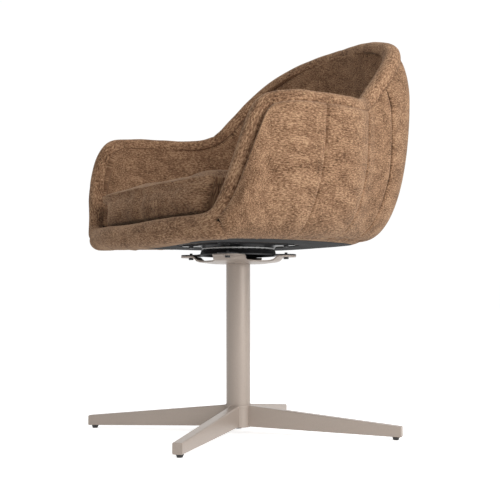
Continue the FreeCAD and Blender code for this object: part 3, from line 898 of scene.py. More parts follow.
class Finishes:
    """The chair's materials by slot."""

    paints = {
        Slot.FRAME: Paint.even("taupe_coat", (0.385, 0.322, 0.276), 0.38, 0.2, 700, 0.00003, 0.05),
        Slot.BLACK: Paint.even("black_coat", (0.022, 0.022, 0.024), 0.35, 0.2),
        Slot.ZINC: Paint.even("zinc_plate", (0.55, 0.55, 0.54), 0.32, 1.0, 400),
        Slot.BALLS: Paint.even("ball_steel", (0.62, 0.61, 0.60), 0.18, 1.0),
        Slot.PLASTIC: Paint.even("glide_plastic", (0.018, 0.017, 0.016), 0.5),
        Slot.SHELL: Paint.even("shell_plastic", (0.03, 0.03, 0.03), 0.6),
        Slot.CLOTH: Paint.even("black_cloth", (0.007, 0.007, 0.008), 0.95, 0.0, 1500, 0.0002, 0.35),
        Slot.PLYWOOD: Paint("plywood", (0.024, 0.018, 0.013), (0.050, 0.038, 0.028), 0.7, 0.0,
                            (6, 90, 500), 4, 0.4, (0.35, 0.65), (0.0001, 0.4)),
        Slot.CHENILLE: Chenille(),
    }

    def __init__(self) -> None:
        """Build every material."""
        self.materials = {slot: paint.build() for slot, paint in self.paints.items()}

    def dress(self, made: bpy.types.Object, slot: Slot, body: str, *nodes: str) -> bpy.types.Object:
        """Give a piece its finish, its body and the CAD nodes that it stands for.

        Args:
            made: Finished piece at the origin.
            slot: Material slot.
            body: Body that it rides on.
            nodes: CAD nodes it replaces.

        Returns:
            The piece.
        """
        made.data.materials.clear()
        made.data.materials.append(self.materials[slot])
        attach(made, body)
        if nodes:
            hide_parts(*nodes)
        return made

    def keep(self, node: str, slot: Slot) -> None:
        """Finish a CAD node that stays in view.

        Args:
            node: Node name.
            slot: Material slot.
        """
        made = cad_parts[node]
        made.data.materials.clear()
        made.data.materials.append(self.materials[slot])


# ---------------------------------------------------------------- tub


@dataclass(frozen=True)
class SeamSize:
    """Where the panels meet, as height and share of the half rim, and how their cloth lies."""

    front: Pairs = ((-1, 0.252), (0, 0.250), (1, 0.214))
    channel_a: Pairs = ((-1, 0.474), (0, 0.477), (0.5, 0.50), (1, 0.511))
    channel_b: Pairs = ((-1, 0.580), (0, 0.583), (0.5, 0.61), (1, 0.625))
    back: Pairs = ((-1, 0.648), (0, 0.652), (0.25, 0.69), (0.5, 0.712), (1, 0.697))
    seam: Valley = Valley(5.0, 6.0)
    fade: Place = (0.85, 0.12, 0.7)
    channel: Valley = Valley(2.8, 4.8)
    trough: Valley = Valley(18.0, 4.0)
    pucker: Place = (55.0, 0.4, 12.0)
    top: Valley = Valley(3.5, 7.0)
    panel_height: tuple[float, float] = (250.0, 0.30)
    fold_at: tuple[float, float] = (0.08, 0.07)
    fold: Rumple = Rumple(1.3, 0.035, 3)
    cloth: Rumple = Rumple(0.9, 0.09)
    cover_thickness: float = 4.0
    side_seed: int = 11
    back_seed: int = 31
    side_centre: Place = (0.1, 0, 0.55)
    back_centre: Place = (0, 0.1, 0.55)


@dataclass(frozen=True)
class PadSize:
    """Inner pads of the arms and the back, in millimetres and shares of the half rim."""

    front: float = 0.240
    back: float = 0.70
    lift: float = 0.8
    seam: Valley = Valley(6.0, 4.0)
    cloth: Rumple = Rumple(0.8, 0.08)
    stretch: float = 0.25
    under: tuple[float, float, int] = (1.01, 1.08, 7)
    under_length: float = 130.0
    under_out: float = 0.7
    thickness: float = 5.0
    arm_seed: int = 51
    back_seed: int = 41
    arm_centre: Place = (0, 0, 0.55)
    back_centre: Place = (0, 0.1, 0.6)


@dataclass(frozen=True)
class LipSize:
    """Panel under the front of the bead, in millimetres and shares of its height."""

    swell_at: float = 0.62
    start: float = 0.3
    steep: float = 12.0
    power: float = 1.6
    seam: Valley = Valley(6.0, 4.0)
    seam_from: float = 0.3
    lower_in: float = 8.0
    lower_from: float = -0.5
    belly: tuple[float, float] = (4.0, 0.7)
    fold_at: tuple[float, float] = (0.05, 0.12)
    fold: Rumple = Rumple(1.2, 0.03, 61)
    cloth: Rumple = Rumple(0.5, 0.06, 62)
    stretch: float = 0.03
    thickness: float = 3.0
    centre: Place = (0, 0, 0.40)


@dataclass(frozen=True)
class BeadSize:
    """Section of the bead, in millimetres, and the places where its seams draw it in."""

    low: float = -6.5
    crown: float = 16.0
    under: float = 3.0
    powers: tuple[float, float] = (0.8, 0.9)
    draws: Pairs = ((0.644, 0.10), (0.226, 0.07))
    draw_reach: float = 5.0
    cloth: Rumple = Rumple(0.018, 0.06, 71)
    stretch: float = 0.02
    cloth_radius: float = 0.014


@dataclass(frozen=True)
class DiscSize:
    """Deck and dust cover, in millimetres."""

    deck_at: float = 427.0
    deck_over: float = 2.0
    deck_sag: tuple[float, float] = (3.0, 4.0)
    deck_thickness: float = 15.0
    dust_reach: float = -22.0
    dust_level: float = 391.2
    dust_sag: float = 2.5
    dust_opening: float = 126.0
    dust_thickness: float = 0.6
    least_opening: float = 0.5


@dataclass(frozen=True)
class Detail:
    """Numbers of rows and columns of the tub's sheets."""

    tuck_rows: int = 9
    side: tuple[int, int] = (110, 400)
    back: tuple[int, int] = (120, 300)
    lip: tuple[int, int] = (44, 280)
    arm_pad: tuple[int, int] = (70, 220)
    back_pad: tuple[int, int] = (70, 280)
    bead: tuple[int, int] = (40, 900)
    disc: tuple[int, int] = (24, 240)


class Tub:
    """Upholstered shell: outer panels, linings, lip, bead, deck and dust cover."""

    size, seams, pad, rolled, padding = TubSize(), SeamSize(), PadSize(), LipSize(), BeadSize()
    discs, detail = DiscSize(), Detail()

    def __init__(self) -> None:
        """Prepare the lines."""
        self.rim, self.base = Line(self.size.rim), Line(self.size.base)

    def wall(self, share: Array) -> Wall:
        """Sections at shares.

        Args:
            share: Signed shares.

        Returns:
            The sections.
        """
        return Wall(self.size, self.rim, self.base, share)

    def metres(self, share: Array) -> Array:
        """Length along the rim.

        Args:
            share: Shares of the half rim.

        Returns:
            Metres.
        """
        return share * self.rim.length * MM

    def heights(self, rows: int) -> Array:
        """Heights of a panel's rows, with those that are folded under it.

        Args:
            rows: Number of rows above the lower edge.

        Returns:
            Heights from -1 to 1.
        """
        return np.r_[np.linspace(-1, 0, self.detail.tuck_rows)[:-1], np.linspace(0, 1, rows)]

    def cover(self, name: str, marks: Sequence[Array], columns: int, seed: int, centre: Place,
              side: int = 1) -> bpy.types.Object:
        """Outer panel between two slanted seams.

        Args:
            name: Object name.
            marks: Heights of the rows, then the shares at each height of the first seam, the
                last seam and the channels between them.
            columns: Number of columns.
            seed: Start of the random unevenness.
            centre: Point in metres that the panel faces away from.
            side: -1 mirrors the panel.

        Returns:
            The panel.
        """
        height, start, end, *channels = (mark[:, None] for mark in marks)
        seams, length = self.seams, self.rim.length
        share = blend(start, end, np.linspace(0, 1, columns))
        tall = np.broadcast_to(height, share.shape)
        deep = seams.seam.at(np.minimum(share - start, end - share) * length)
        fade_from, fade_span, fade = seams.fade
        deep *= 1 - fade * smooth_step((tall - fade_from) / fade_span)
        rate, pucker, reach = seams.pucker
        for channel in channels:
            apart = (share - channel) * length
            deep += seams.channel.at(apart) + seams.trough.at(apart)
            deep += np.sin(self.metres(tall) * rate + seed) * pucker * np.exp(-np.abs(apart) / reach)
        deep += seams.top.at((1 - tall) * seams.panel_height[0])
        fold = np.exp(-((tall - seams.fold_at[0]) / seams.fold_at[1]) ** 2)
        across, up = self.metres(share), tall * seams.panel_height[1]
        deep += fold * seams.fold.at(across, up * 0, seed) - seams.cloth.at(across, up, seed)
        points = self.wall(share).cover(tall, deep)
        points[..., 0] *= side
        return sheet_object(name, Grid(points, across, points[..., 2] * MM), seams.cover_thickness, centre)

    def side_cover(self, side: int) -> bpy.types.Object:
        """Outer side panel.

        Args:
            side: +1 for the sitter's left, -1 for the right.

        Returns:
            The panel.
        """
        seams, (rows, columns) = self.seams, self.detail.side
        height = self.heights(rows)
        lines = (seams.front, seams.back, seams.channel_a, seams.channel_b)
        name = "left_side_panel" if side > 0 else "right_side_panel"
        marks = [height, *(table(line, height) for line in lines)]
        centre = tuple(np.array(seams.side_centre) * (side, 1, 1))
        return self.cover(name, marks, columns, seams.side_seed + side, centre, side)

    def back_cover(self) -> bpy.types.Object:
        """Outer back panel.

        Returns:
            The panel.
        """
        seams, (rows, columns) = self.seams, self.detail.back
        height = self.heights(rows)
        start = table(seams.back, height)
        marks = (height, start, 2 - start)
        return self.cover("back_panel", marks, columns, seams.back_seed, seams.back_centre)

    def lining(self, side: int) -> bpy.types.Object:
        """Inner pad of an arm or, for side 0, of the back.

        Args:
            side: +1, -1 or 0.

        Returns:
            The pad.
        """
        pad, foot = self.pad, self.size.deck_top + self.pad.lift
        name = {0: "back_pad", 1: "left_arm_pad", -1: "right_arm_pad"}[side]
        if side:
            start, end, (rows, columns) = pad.front, pad.back, self.detail.arm_pad
            seed, centre = pad.arm_seed + side, pad.arm_centre
        else:
            start, end, (rows, columns) = pad.back, 2 - pad.back, self.detail.back_pad
            seed, centre = pad.back_seed, pad.back_centre
        height = np.r_[np.linspace(0, 1, rows), np.linspace(*pad.under)][:, None]
        share, height = np.broadcast_arrays(np.linspace(start, end, columns), height)
        rise, under = np.minimum(height, 1), np.maximum(height - 1, 0)[..., None] * pad.under_length
        wall = self.wall(share)
        level = blend(foot, wall.seam_level, rise)
        edge = end - share if side else np.minimum(share - start, end - share)
        reach = wall.lining_reach(level) + pad.seam.at(edge * self.rim.length)
        reach = reach - pad.cloth.at(self.metres(share), rise * pad.stretch, seed)
        points = wall.at(reach, level) + wall.turned((wall.crest + wall.out * pad.under_out) * under)
        if side < 0:
            points[..., 0] *= -1
        return sheet_object(name, Grid(points, self.metres(share), level * MM), pad.thickness, centre, True)

    def lip(self) -> bpy.types.Object:
        """Upholstered panel under the front of the bead.

        Returns:
            The panel.
        """
        lip, (rows, columns) = self.rolled, self.detail.lip
        height = self.heights(rows)[:, None]
        edge = table(self.seams.front, height)
        share = edge * np.linspace(-1, 1, columns)
        tall = np.broadcast_to(height, share.shape)
        wall, across = self.wall(share), self.metres(share)
        swell = blend(wall.foot_level, wall.seam_level, lip.swell_at)
        roll = np.clip(tall / lip.swell_at, 0, 1) * np.pi / 2
        start = wall.width * lip.start
        reach = start * np.clip(tall * lip.steep, 0, 1) + (wall.width - start) * np.sin(roll)
        level = blend(wall.foot_level, swell, 1 - np.cos(roll))
        top = np.clip((tall - lip.swell_at) / (1 - lip.swell_at), 0, 1)
        above = tall > lip.swell_at
        reach = np.where(above, blend(wall.width, wall.reach_seam, top**lip.power), reach)
        level = np.where(above, blend(swell, wall.seam_level, top), level)
        reach, level = wall.tucked(tall, reach, level)
        side = (edge - np.abs(share)) * self.rim.length
        reach = reach - lip.seam.at(side) * np.clip(lip.seam_from + tall, 0, 1)
        reach = reach - lip.lower_in * np.clip(1 - tall, 0, 1) ** lip.power * (tall > lip.lower_from)
        fold = np.exp(-((tall - lip.fold_at[0]) / lip.fold_at[1]) ** 2)
        reach = reach - fold * lip.fold.at(across, tall * 0) + lip.cloth.at(across, tall * lip.stretch)
        reach = reach - lip.belly[0] * np.sin(np.pi * np.clip(tall, 0, 1)) ** lip.belly[1]
        grid = Grid(wall.at(reach, level), across, level * MM)
        return sheet_object("front_panel", grid, lip.thickness, lip.centre)

    def bead(self) -> bpy.types.Object:
        """Padded bead round the whole rim.

        Returns:
            The bead, as one closed ring.
        """
        bead, (rows, columns) = self.padding, self.detail.bead
        share, turn = np.broadcast_arrays(np.linspace(-1, 1, columns, endpoint=False)[None],
                                          np.linspace(0, 2 * np.pi, rows, endpoint=False)[:, None])
        wall, along = self.wall(share), self.metres(share)
        flat, tall = np.cos(turn), np.sin(turn)
        across = wall.half * np.sign(flat) * np.abs(flat) ** bead.powers[0]
        up = np.where(tall >= 0, (bead.crown - bead.low) * np.abs(tall) ** bead.powers[1],
                      -bead.under * np.abs(tall))
        draw = np.ones_like(turn)
        for place, depth in bead.draws:
            apart = (np.abs(share) - place) * self.rim.length
            draw = draw - depth * np.exp(-np.abs(apart) / bead.draw_reach)
        draw = draw * (1 + bead.cloth.at(along, turn * bead.stretch))
        out, rise = wall.out * (across * draw)[..., None], wall.crest * (bead.low + up * draw)[..., None]
        points = wall.turned(wall.rim + out + rise)
        grid = Grid(points, along, 1 + turn * bead.cloth_radius, True, True)
        return outward(grid_object("rim_bead", grid))

    def plan_disc(self, name: str, reach_of: Callable[[Wall], Array], level: Callable[[Array], Array],
                  inner: float, thickness: float) -> bpy.types.Object:
        """Flat or sagging sheet inside the tub's outline.

        Args:
            name: Object name.
            reach_of: Reach of the outline in each section.
            level: Level in millimetres by share of the way from the centre to the outline.
            inner: Radius of the opening, or 0.
            thickness: Thickness in millimetres.

        Returns:
            The sheet.
        """
        rows, columns = self.detail.disc
        wall = self.wall(np.linspace(-1, 1, columns, endpoint=False))
        edge = wall.at(reach_of(wall), np.full_like(wall.share, self.size.board_top))[:, :2]
        way = np.linspace(0, 1, rows)[:, None, None]
        plan = blend(unit(edge) * max(inner, self.discs.least_opening), edge, way)
        points = np.concatenate([plan, np.broadcast_to(level(way), plan[..., :1].shape)], -1)
        grid = Grid(points, points[..., 0] * MM, points[..., 1] * MM, ring_columns=True)
        return sheet_object(name, grid, thickness, (0, 0, 0))

    def deck_reach(self, wall: Wall) -> Array:
        """Reach of the deck's edge, a little under the linings.

        Args:
            wall: Sections.

        Returns:
            Reach in each section.
        """
        return wall.lining_reach(np.full_like(wall.share, self.discs.deck_at)) + self.discs.deck_over

    def build(self, finishes: Finishes) -> None:
        """Make and dress every soft piece but the cushion.

        Args:
            finishes: Materials.
        """
        cloth, seat, discs = Slot.CHENILLE, Body.SEAT.value, self.discs
        for side, word in ((1, "left"), (-1, "right")):
            finishes.dress(self.side_cover(side), cloth, seat, word + "_side_cover")
            finishes.dress(self.lining(side), cloth, seat, word + "_lining")
        finishes.dress(self.back_cover(), cloth, seat, "back_cover")
        finishes.dress(self.lining(0), cloth, seat, "back_lining")
        finishes.dress(self.lip(), cloth, seat, "front_lip")
        bands = ("front_rim_band", "left_arm_band", "right_arm_band", "back_rim_band")
        finishes.dress(self.bead(), cloth, seat, *bands)
        sag, power = discs.deck_sag
        deck = self.plan_disc("deck", self.deck_reach, lambda way: self.size.deck_top - sag * way**power,
                              0, discs.deck_thickness)
        finishes.dress(deck, Slot.CLOTH, seat, "deck_pad")
        dust = self.plan_disc("dust_sheet", lambda wall: np.full_like(wall.share, discs.dust_reach),
                              lambda way: discs.dust_level - discs.dust_sag * np.sin(np.pi * way),
                              discs.dust_opening, discs.dust_thickness)
        finishes.dress(dust, Slot.CLOTH, seat, "dust_cover")
        finishes.keep("seat_shell", Slot.SHELL)
        finishes.keep("seat_board", Slot.PLYWOOD)


# ---------------------------------------------------------------- cushion


@dataclass(frozen=True)
class CushionSize:
    """Loose cushion, in millimetres."""

    front: float = 226.0
    corner: float = 201.0
    half: float = 246.0
    bottom_half: float = 226.0
    gap: float = 8.0
    seam: float = 500.0
    crown: float = 24.0
    low: float = 426.5
    shares: Sequence[float] = (0.36, 0.4, 0.44, 0.48, 0.52, 0.56, 0.6, 0.64, 0.68, 0.72, 0.755, 0.79, 0.825,
                               0.88, 0.94, 1)
    front_edge: Pairs = ((0, 0), (0.25, 1), (0.5, 3), (0.74, 7))
    front_corner: Pairs = ((-24, -13), (-8, -10), (-1, -4), (1, 14))
    inset_from: tuple[float, float] = (0.0, 10.0)
    ring_count: int = 220
    ring_smooth: int = 3
    start_inset: float = 1.5
    foot: Pairs = ((0, 40), (0, 5), (3, 0), (37, 2))
    shoulder: Pairs = ((-4, 0), (0, -0.5))
    dome: Pairs = ((0.25, 5), (0.5, 18), (0.75, 46), (0.93, 88), (1, 130))
    peak: float = 2.0
    side_margin: float = 1.0
    edge_band: tuple[float, float] = (0.86, 0.12)
    crisp: tuple[float, float] = (0.8, 0.42)
    crisp_height: float = 16.0
    groove: float = 3.4
    upper_groove: tuple[float, float] = (6.0, 2.2)
    lower_groove: tuple[float, float] = (7.0, 3.2)
    cloth_radius: float = 0.24
    ripple: Rumple = Rumple(1.0, 0.05, 81)
    ripple_rise: float = 0.6
    dent: Rumple = Rumple(1.6, 0.16, 82)
    sink: float = 1.5
    side_cloth: Place = (4.0, 1.0, 0.5)


@dataclass(frozen=True)
class Filling:
    """Numbers of the simulation that fills the cushion."""

    voxel: float = 0.005
    frames: int = 16
    quality: int = 5
    mass: float = 0.3
    pressure: float = 4.0
    tension: float = 18.0
    shear: float = 6.0
    bending: float = 2.0
    most_move: float = 6.0
    smooth: float = 0.5
    smooth_steps: int = 2


class Cushion:
    """Box cushion, filled by a cloth simulation, then seamed."""

    size, filling = CushionSize(), Filling()

    def __init__(self, tub: Tub) -> None:
        """Keep the tub.

        Args:
            tub: Tub that the cushion lies in.
        """
        self.tub = tub

    def ring(self, level: float, inset: float) -> Array:
        """Outline at one level.

        Args:
            level: Height in millimetres.
            inset: Distance drawn in.

        Returns:
            Evenly spaced points.
        """
        size = self.size
        rise = min((level - size.low) / (size.seam - size.low), 1)
        half = blend(size.bottom_half, size.half, rise) - inset
        near = [(half * share, inset - size.front + back) for share, back in size.front_edge]
        near += [(half + out, inset - size.corner + back) for out, back in size.front_corner]
        share = np.array(size.shares)
        wall, at = self.tub.wall(share), np.full_like(share, min(level, size.seam))
        place = wall.at(wall.lining_reach(at) - size.gap, at)[:, :2]
        side = np.concatenate([np.array(near), place - unit(place - np.array(size.inset_from)) * inset])
        loop = np.concatenate([side, side[-2:0:-1] * np.array([-1, 1]), side[:1]])
        length = run_length(loop)
        at = np.linspace(0, length[-1], size.ring_count, endpoint=False)
        flat = np.stack([np.interp(at, length, column) for column in loop.T], -1)
        for _ in range(size.ring_smooth):
            flat = (np.roll(flat, 1, 0) + 2 * flat + np.roll(flat, -1, 0)) / 4
        return np.column_stack([flat, np.full(size.ring_count, level)])

    def start_mesh(self) -> bpy.types.Object:
        """Closed form from which the simulation starts.

        Returns:
            The mesh, a little smaller than the filled cushion.
        """
        size = self.size
        levels = [*((size.low + up, inset) for up, inset in size.foot),
                  *((size.seam + up, inset) for up, inset in size.shoulder),
                  *((size.seam + size.crown * part, inset) for part, inset in size.dome)]
        rings = np.array([self.ring(level, inset + size.start_inset) for level, inset in levels])
        rows, count = rings.shape[:2]
        poles = np.array([rings[0].mean(0), rings[-1].mean(0) + np.array([0, 0, size.peak])])
        number = np.arange(count)
        after, last, pole = (number + 1) % count, (rows - 1) * count, np.full(count, rows * count)
        caps = np.stack([[after, last + number], [number, last + after], [pole, pole + 1]], -1)
        points = np.concatenate([rings.reshape(-1, 3), poles]) * MM
        faces = [Grid(rings, ring_columns=True).faces(), caps.reshape(-1, 3)]
        return outward(new_object("cushion", points, faces))

    @staticmethod
    def apply(made: bpy.types.Object) -> None:
        """Turn the modifiers' result into the mesh.

        Args:
            made: Object with modifiers.
        """
        graph = bpy.context.evaluated_depsgraph_get()
        mesh = bpy.data.meshes.new_from_object(made.evaluated_get(graph))
        made.modifiers.clear()
        made.data = mesh

    def simulate(self, made: bpy.types.Object) -> None:
        """Blow the closed form up with a cloth simulation.

        Args:
            made: Cushion.
        """
        filling, scene = self.filling, bpy.context.scene
        cloth = made.modifiers.new("cloth", "CLOTH")
        settings = cloth.settings
        settings.quality, settings.mass = filling.quality, filling.mass
        settings.use_pressure, settings.uniform_pressure_force = True, filling.pressure
        settings.tension_stiffness = settings.compression_stiffness = filling.tension
        settings.shear_stiffness, settings.bending_stiffness = filling.shear, filling.bending
        settings.effector_weights.gravity = 0
        cloth.collision_settings.use_collision = False
        for span in (cloth.point_cache, scene):
            span.frame_start, span.frame_end = 1, filling.frames
        for number in range(1, filling.frames + 1):
            scene.frame_set(number)
        self.apply(made)
        scene.frame_set(1)

    def fill(self, made: bpy.types.Object) -> None:
        """Fill the cushion, but no further than a few millimetres.

        Args:
            made: Cushion.
        """
        filling = self.filling
        remesh = made.modifiers.new("remesh", "REMESH")
        remesh.mode, remesh.voxel_size = "VOXEL", filling.voxel
        self.apply(made)
        before = self.places(made)
        self.simulate(made)
        move = self.places(made) - before
        far = np.linalg.norm(move, axis=1, keepdims=True)
        self.write(made, before + move * np.minimum(1, filling.most_move * MM / np.maximum(far, TINY)))
        smooth = made.modifiers.new("smooth", "SMOOTH")
        smooth.factor, smooth.iterations = filling.smooth, filling.smooth_steps
        subdivide = made.modifiers.new("subdivide", "SUBSURF")
        subdivide.levels = subdivide.render_levels = 1
        self.apply(made)

    @staticmethod
    def places(made: bpy.types.Object) -> Array:
        """Vertex places.

        Args:
            made: Object.

        Returns:
            Points in metres.
        """
        flat = np.zeros(len(made.data.vertices) * 3)
        made.data.vertices.foreach_get("co", flat)
        return flat.reshape(-1, 3)

    @staticmethod
    def write(made: bpy.types.Object, points: Array) -> None:
        """Set vertex places.

        Args:
            made: Object.
            points: Points in metres.
        """
        made.data.vertices.foreach_set("co", points.ravel())
        made.data.update()

    def outline(self, heading: Array) -> Array:
        """Distance from the axis to the widest outline.

        Args:
            heading: Direction in radians.

        Returns:
            Millimetres.
        """
        ring = self.ring(self.size.seam, 0)
        angle = np.arctan2(ring[:, 1], ring[:, 0])
        order = np.argsort(angle)
        span = np.linalg.norm(ring[:, :2], axis=1)
        return np.interp(heading, angle[order], span[order], period=2 * np.pi)

    def fit(self, made: bpy.types.Object) -> None:
        """Bring the filled cushion back to its size and sew its seams.

        Args:
            made: Cushion.
        """
        size, points = self.size, self.places(made)
        low, high = points.min(0), points.max(0)
        half, back = size.half - size.side_margin, self.ring(size.seam, 0)[:, 1].max()
        target_low = np.array([-half, -size.front, size.low])
        target_high = np.array([half, back, size.seam + size.crown])
        points = blend(target_low, target_high, (points - low) / (high - low))
        flat, level = points[:, :2], points[:, 2]
        own = np.arctan2(flat[:, 1], flat[:, 0])
        limit, radius = self.outline(own), np.linalg.norm(flat, axis=1)
        near_edge = smooth_step((radius / limit - size.edge_band[0]) / size.edge_band[1])
        off_seam = np.abs(level - size.seam)
        crisp = limit - size.crisp[0] - size.crisp[1] * off_seam
        move = np.maximum(crisp - radius, 0) * near_edge * (off_seam < size.crisp_height)
        for mark, width in ((size.seam - size.upper_groove[0], size.upper_groove[1]),
                            (size.low + size.lower_groove[0], size.lower_groove[1])):
            move -= size.groove * np.exp(-((level - mark) / width) ** 2) * near_edge
        around = own * size.cloth_radius
        ripple = size.ripple.at(around, level * MM * size.ripple_rise)
        move += ripple * near_edge * (level < size.seam)
        flat = flat + unit(flat) * move[:, None]
        dent = size.dent.at(flat[:, 0] * MM, flat[:, 1] * MM) * (1 - near_edge)
        level = level + np.where(level > size.seam, dent - size.sink, 0)
        over = np.minimum(1, limit / np.maximum(np.linalg.norm(flat, axis=1), TINY))
        flat = flat * over[:, None]
        self.write(made, np.column_stack([flat, level]) * MM)
        foot, top, share = size.side_cloth
        side = (level > size.low + foot) & (level < size.seam - top) & (near_edge > share)
        self.lay_cloth(made, np.where(side[:, None], np.column_stack([around, level * MM]), flat * MM))

    @staticmethod
    def lay_cloth(made: bpy.types.Object, cloth: Array) -> None:
        """Give the mesh its cloth coordinates and smooth shading.

        Args:
            made: Object.
            cloth: Coordinates per vertex, in metres.
        """
        mesh = made.data
        layer = mesh.uv_layers.get(CLOTH_LAYER) or mesh.uv_layers.new(name=CLOTH_LAYER)
        corner = np.zeros(len(mesh.loops), np.int32)
        mesh.loops.foreach_get("vertex_index", corner)
        layer.data.foreach_set("uv", cloth[corner].astype(np.float32).ravel())
        mesh.polygons.foreach_set("use_smooth", np.ones(len(mesh.polygons), bool))
        mesh.update()

    def build(self, finishes: Finishes) -> None:
        """Make and dress the cushion.

        Args:
            finishes: Materials.
        """
        made = self.start_mesh()
        self.fill(made)
        self.fit(made)
        finishes.dress(made, Slot.CHENILLE, Body.SEAT.value, "seat_cushion")


# ---------------------------------------------------------------- metal


@dataclass(frozen=True)
class PlateSize:
    """Pressed plate with four arms: upper face by radius and level, and its outline."""

    upper: Pairs
    reach: float
    arm: float
    core: float
    thickness: float = 3.0
    sharp: float = 9.0
    arm_turn: float = 45.0
    rows: int = 46
    sides: int = 360
    weld: float = 0.00005
    rounding: tuple[float, float] = (0.5, 35.0)


@dataclass(frozen=True)
class BaseSize:
    """Metal base and swivel, in millimetres."""

    leg_turn: float = 38.7
    leg_reach: float = 340.0
    leg_width: float = 20.0
    leg_low: float = 6.2
    leg_depth: float = 21.0
    leg_corner: float = 2.6
    leg_rows: int = 12
    leg_steps: int = 6
    leg_caps: Sequence[float] = (0.5, 0.999)
    leg_rounding: tuple[float, float] = (1.2, 50.0)
    root_low: float = 16.0
    root_depth: float = 43.0
    root_in: float = 3.0
    hub_radius: float = 27.5
    glide_circle: float = 327.6
    glide: Pairs = ((0.01, 0), (5.0, 0), (5.5, 0.5), (6.4, 3.4), (7.1, 3.8), (7.1, 6.2), (6.6, 6.5),
                    (3.0, 6.5), (3.0, 20), (0.01, 20))
    glide_sides: int = 48
    glide_rounding: tuple[float, float] = (0.25, 40.0)
    hub: Pairs = ((25.4, 20.5), (25.4, 61), (26.8, 61), (27.5, 60.2), (27.5, 55.0), (27.1, 54.4), (27.1, 20),
                  (27.5, 16), (26.6, 15), (4.4, 15), (4.4, 20.5))
    hub_rounding: tuple[float, float] = (0.3, 25.0)
    column: Pairs = ((25, 20.2), (25, 356.6), (24.6, 357), (23, 357), (23, 34), (4.2, 34), (4.2, 20.2))
    column_rounding: tuple[float, float] = (0.3, 40.0)
    column_sides: int = 120
    bowl: PlateSize = PlateSize(((25.2, 354.4), (60, 355.6), (82, 358.4), (88, 360.5), (93, 366), (96, 368),
                                 (122, 368)), 122, 66, 73.92)
    lower: PlateSize = PlateSize(((10.2, 380.5), (75.5, 380.5), (77, 380), (79.5, 371.4), (81, 371),
                                  (122, 371)), 122, 40, 84)
    upper: PlateSize = PlateSize(((0.3, 387.5), (75.5, 387.5), (77, 388), (79.5, 391.6), (81, 392),
                                  (120, 392)), 120, 40, 84)
    ball_count: int = 36
    ball_radius: float = 3.0
    ball_mesh: tuple[int, int] = (12, 20)
    ball_pole: float = 0.02
    race_radius: float = 72.5
    ball_level: float = 382.5


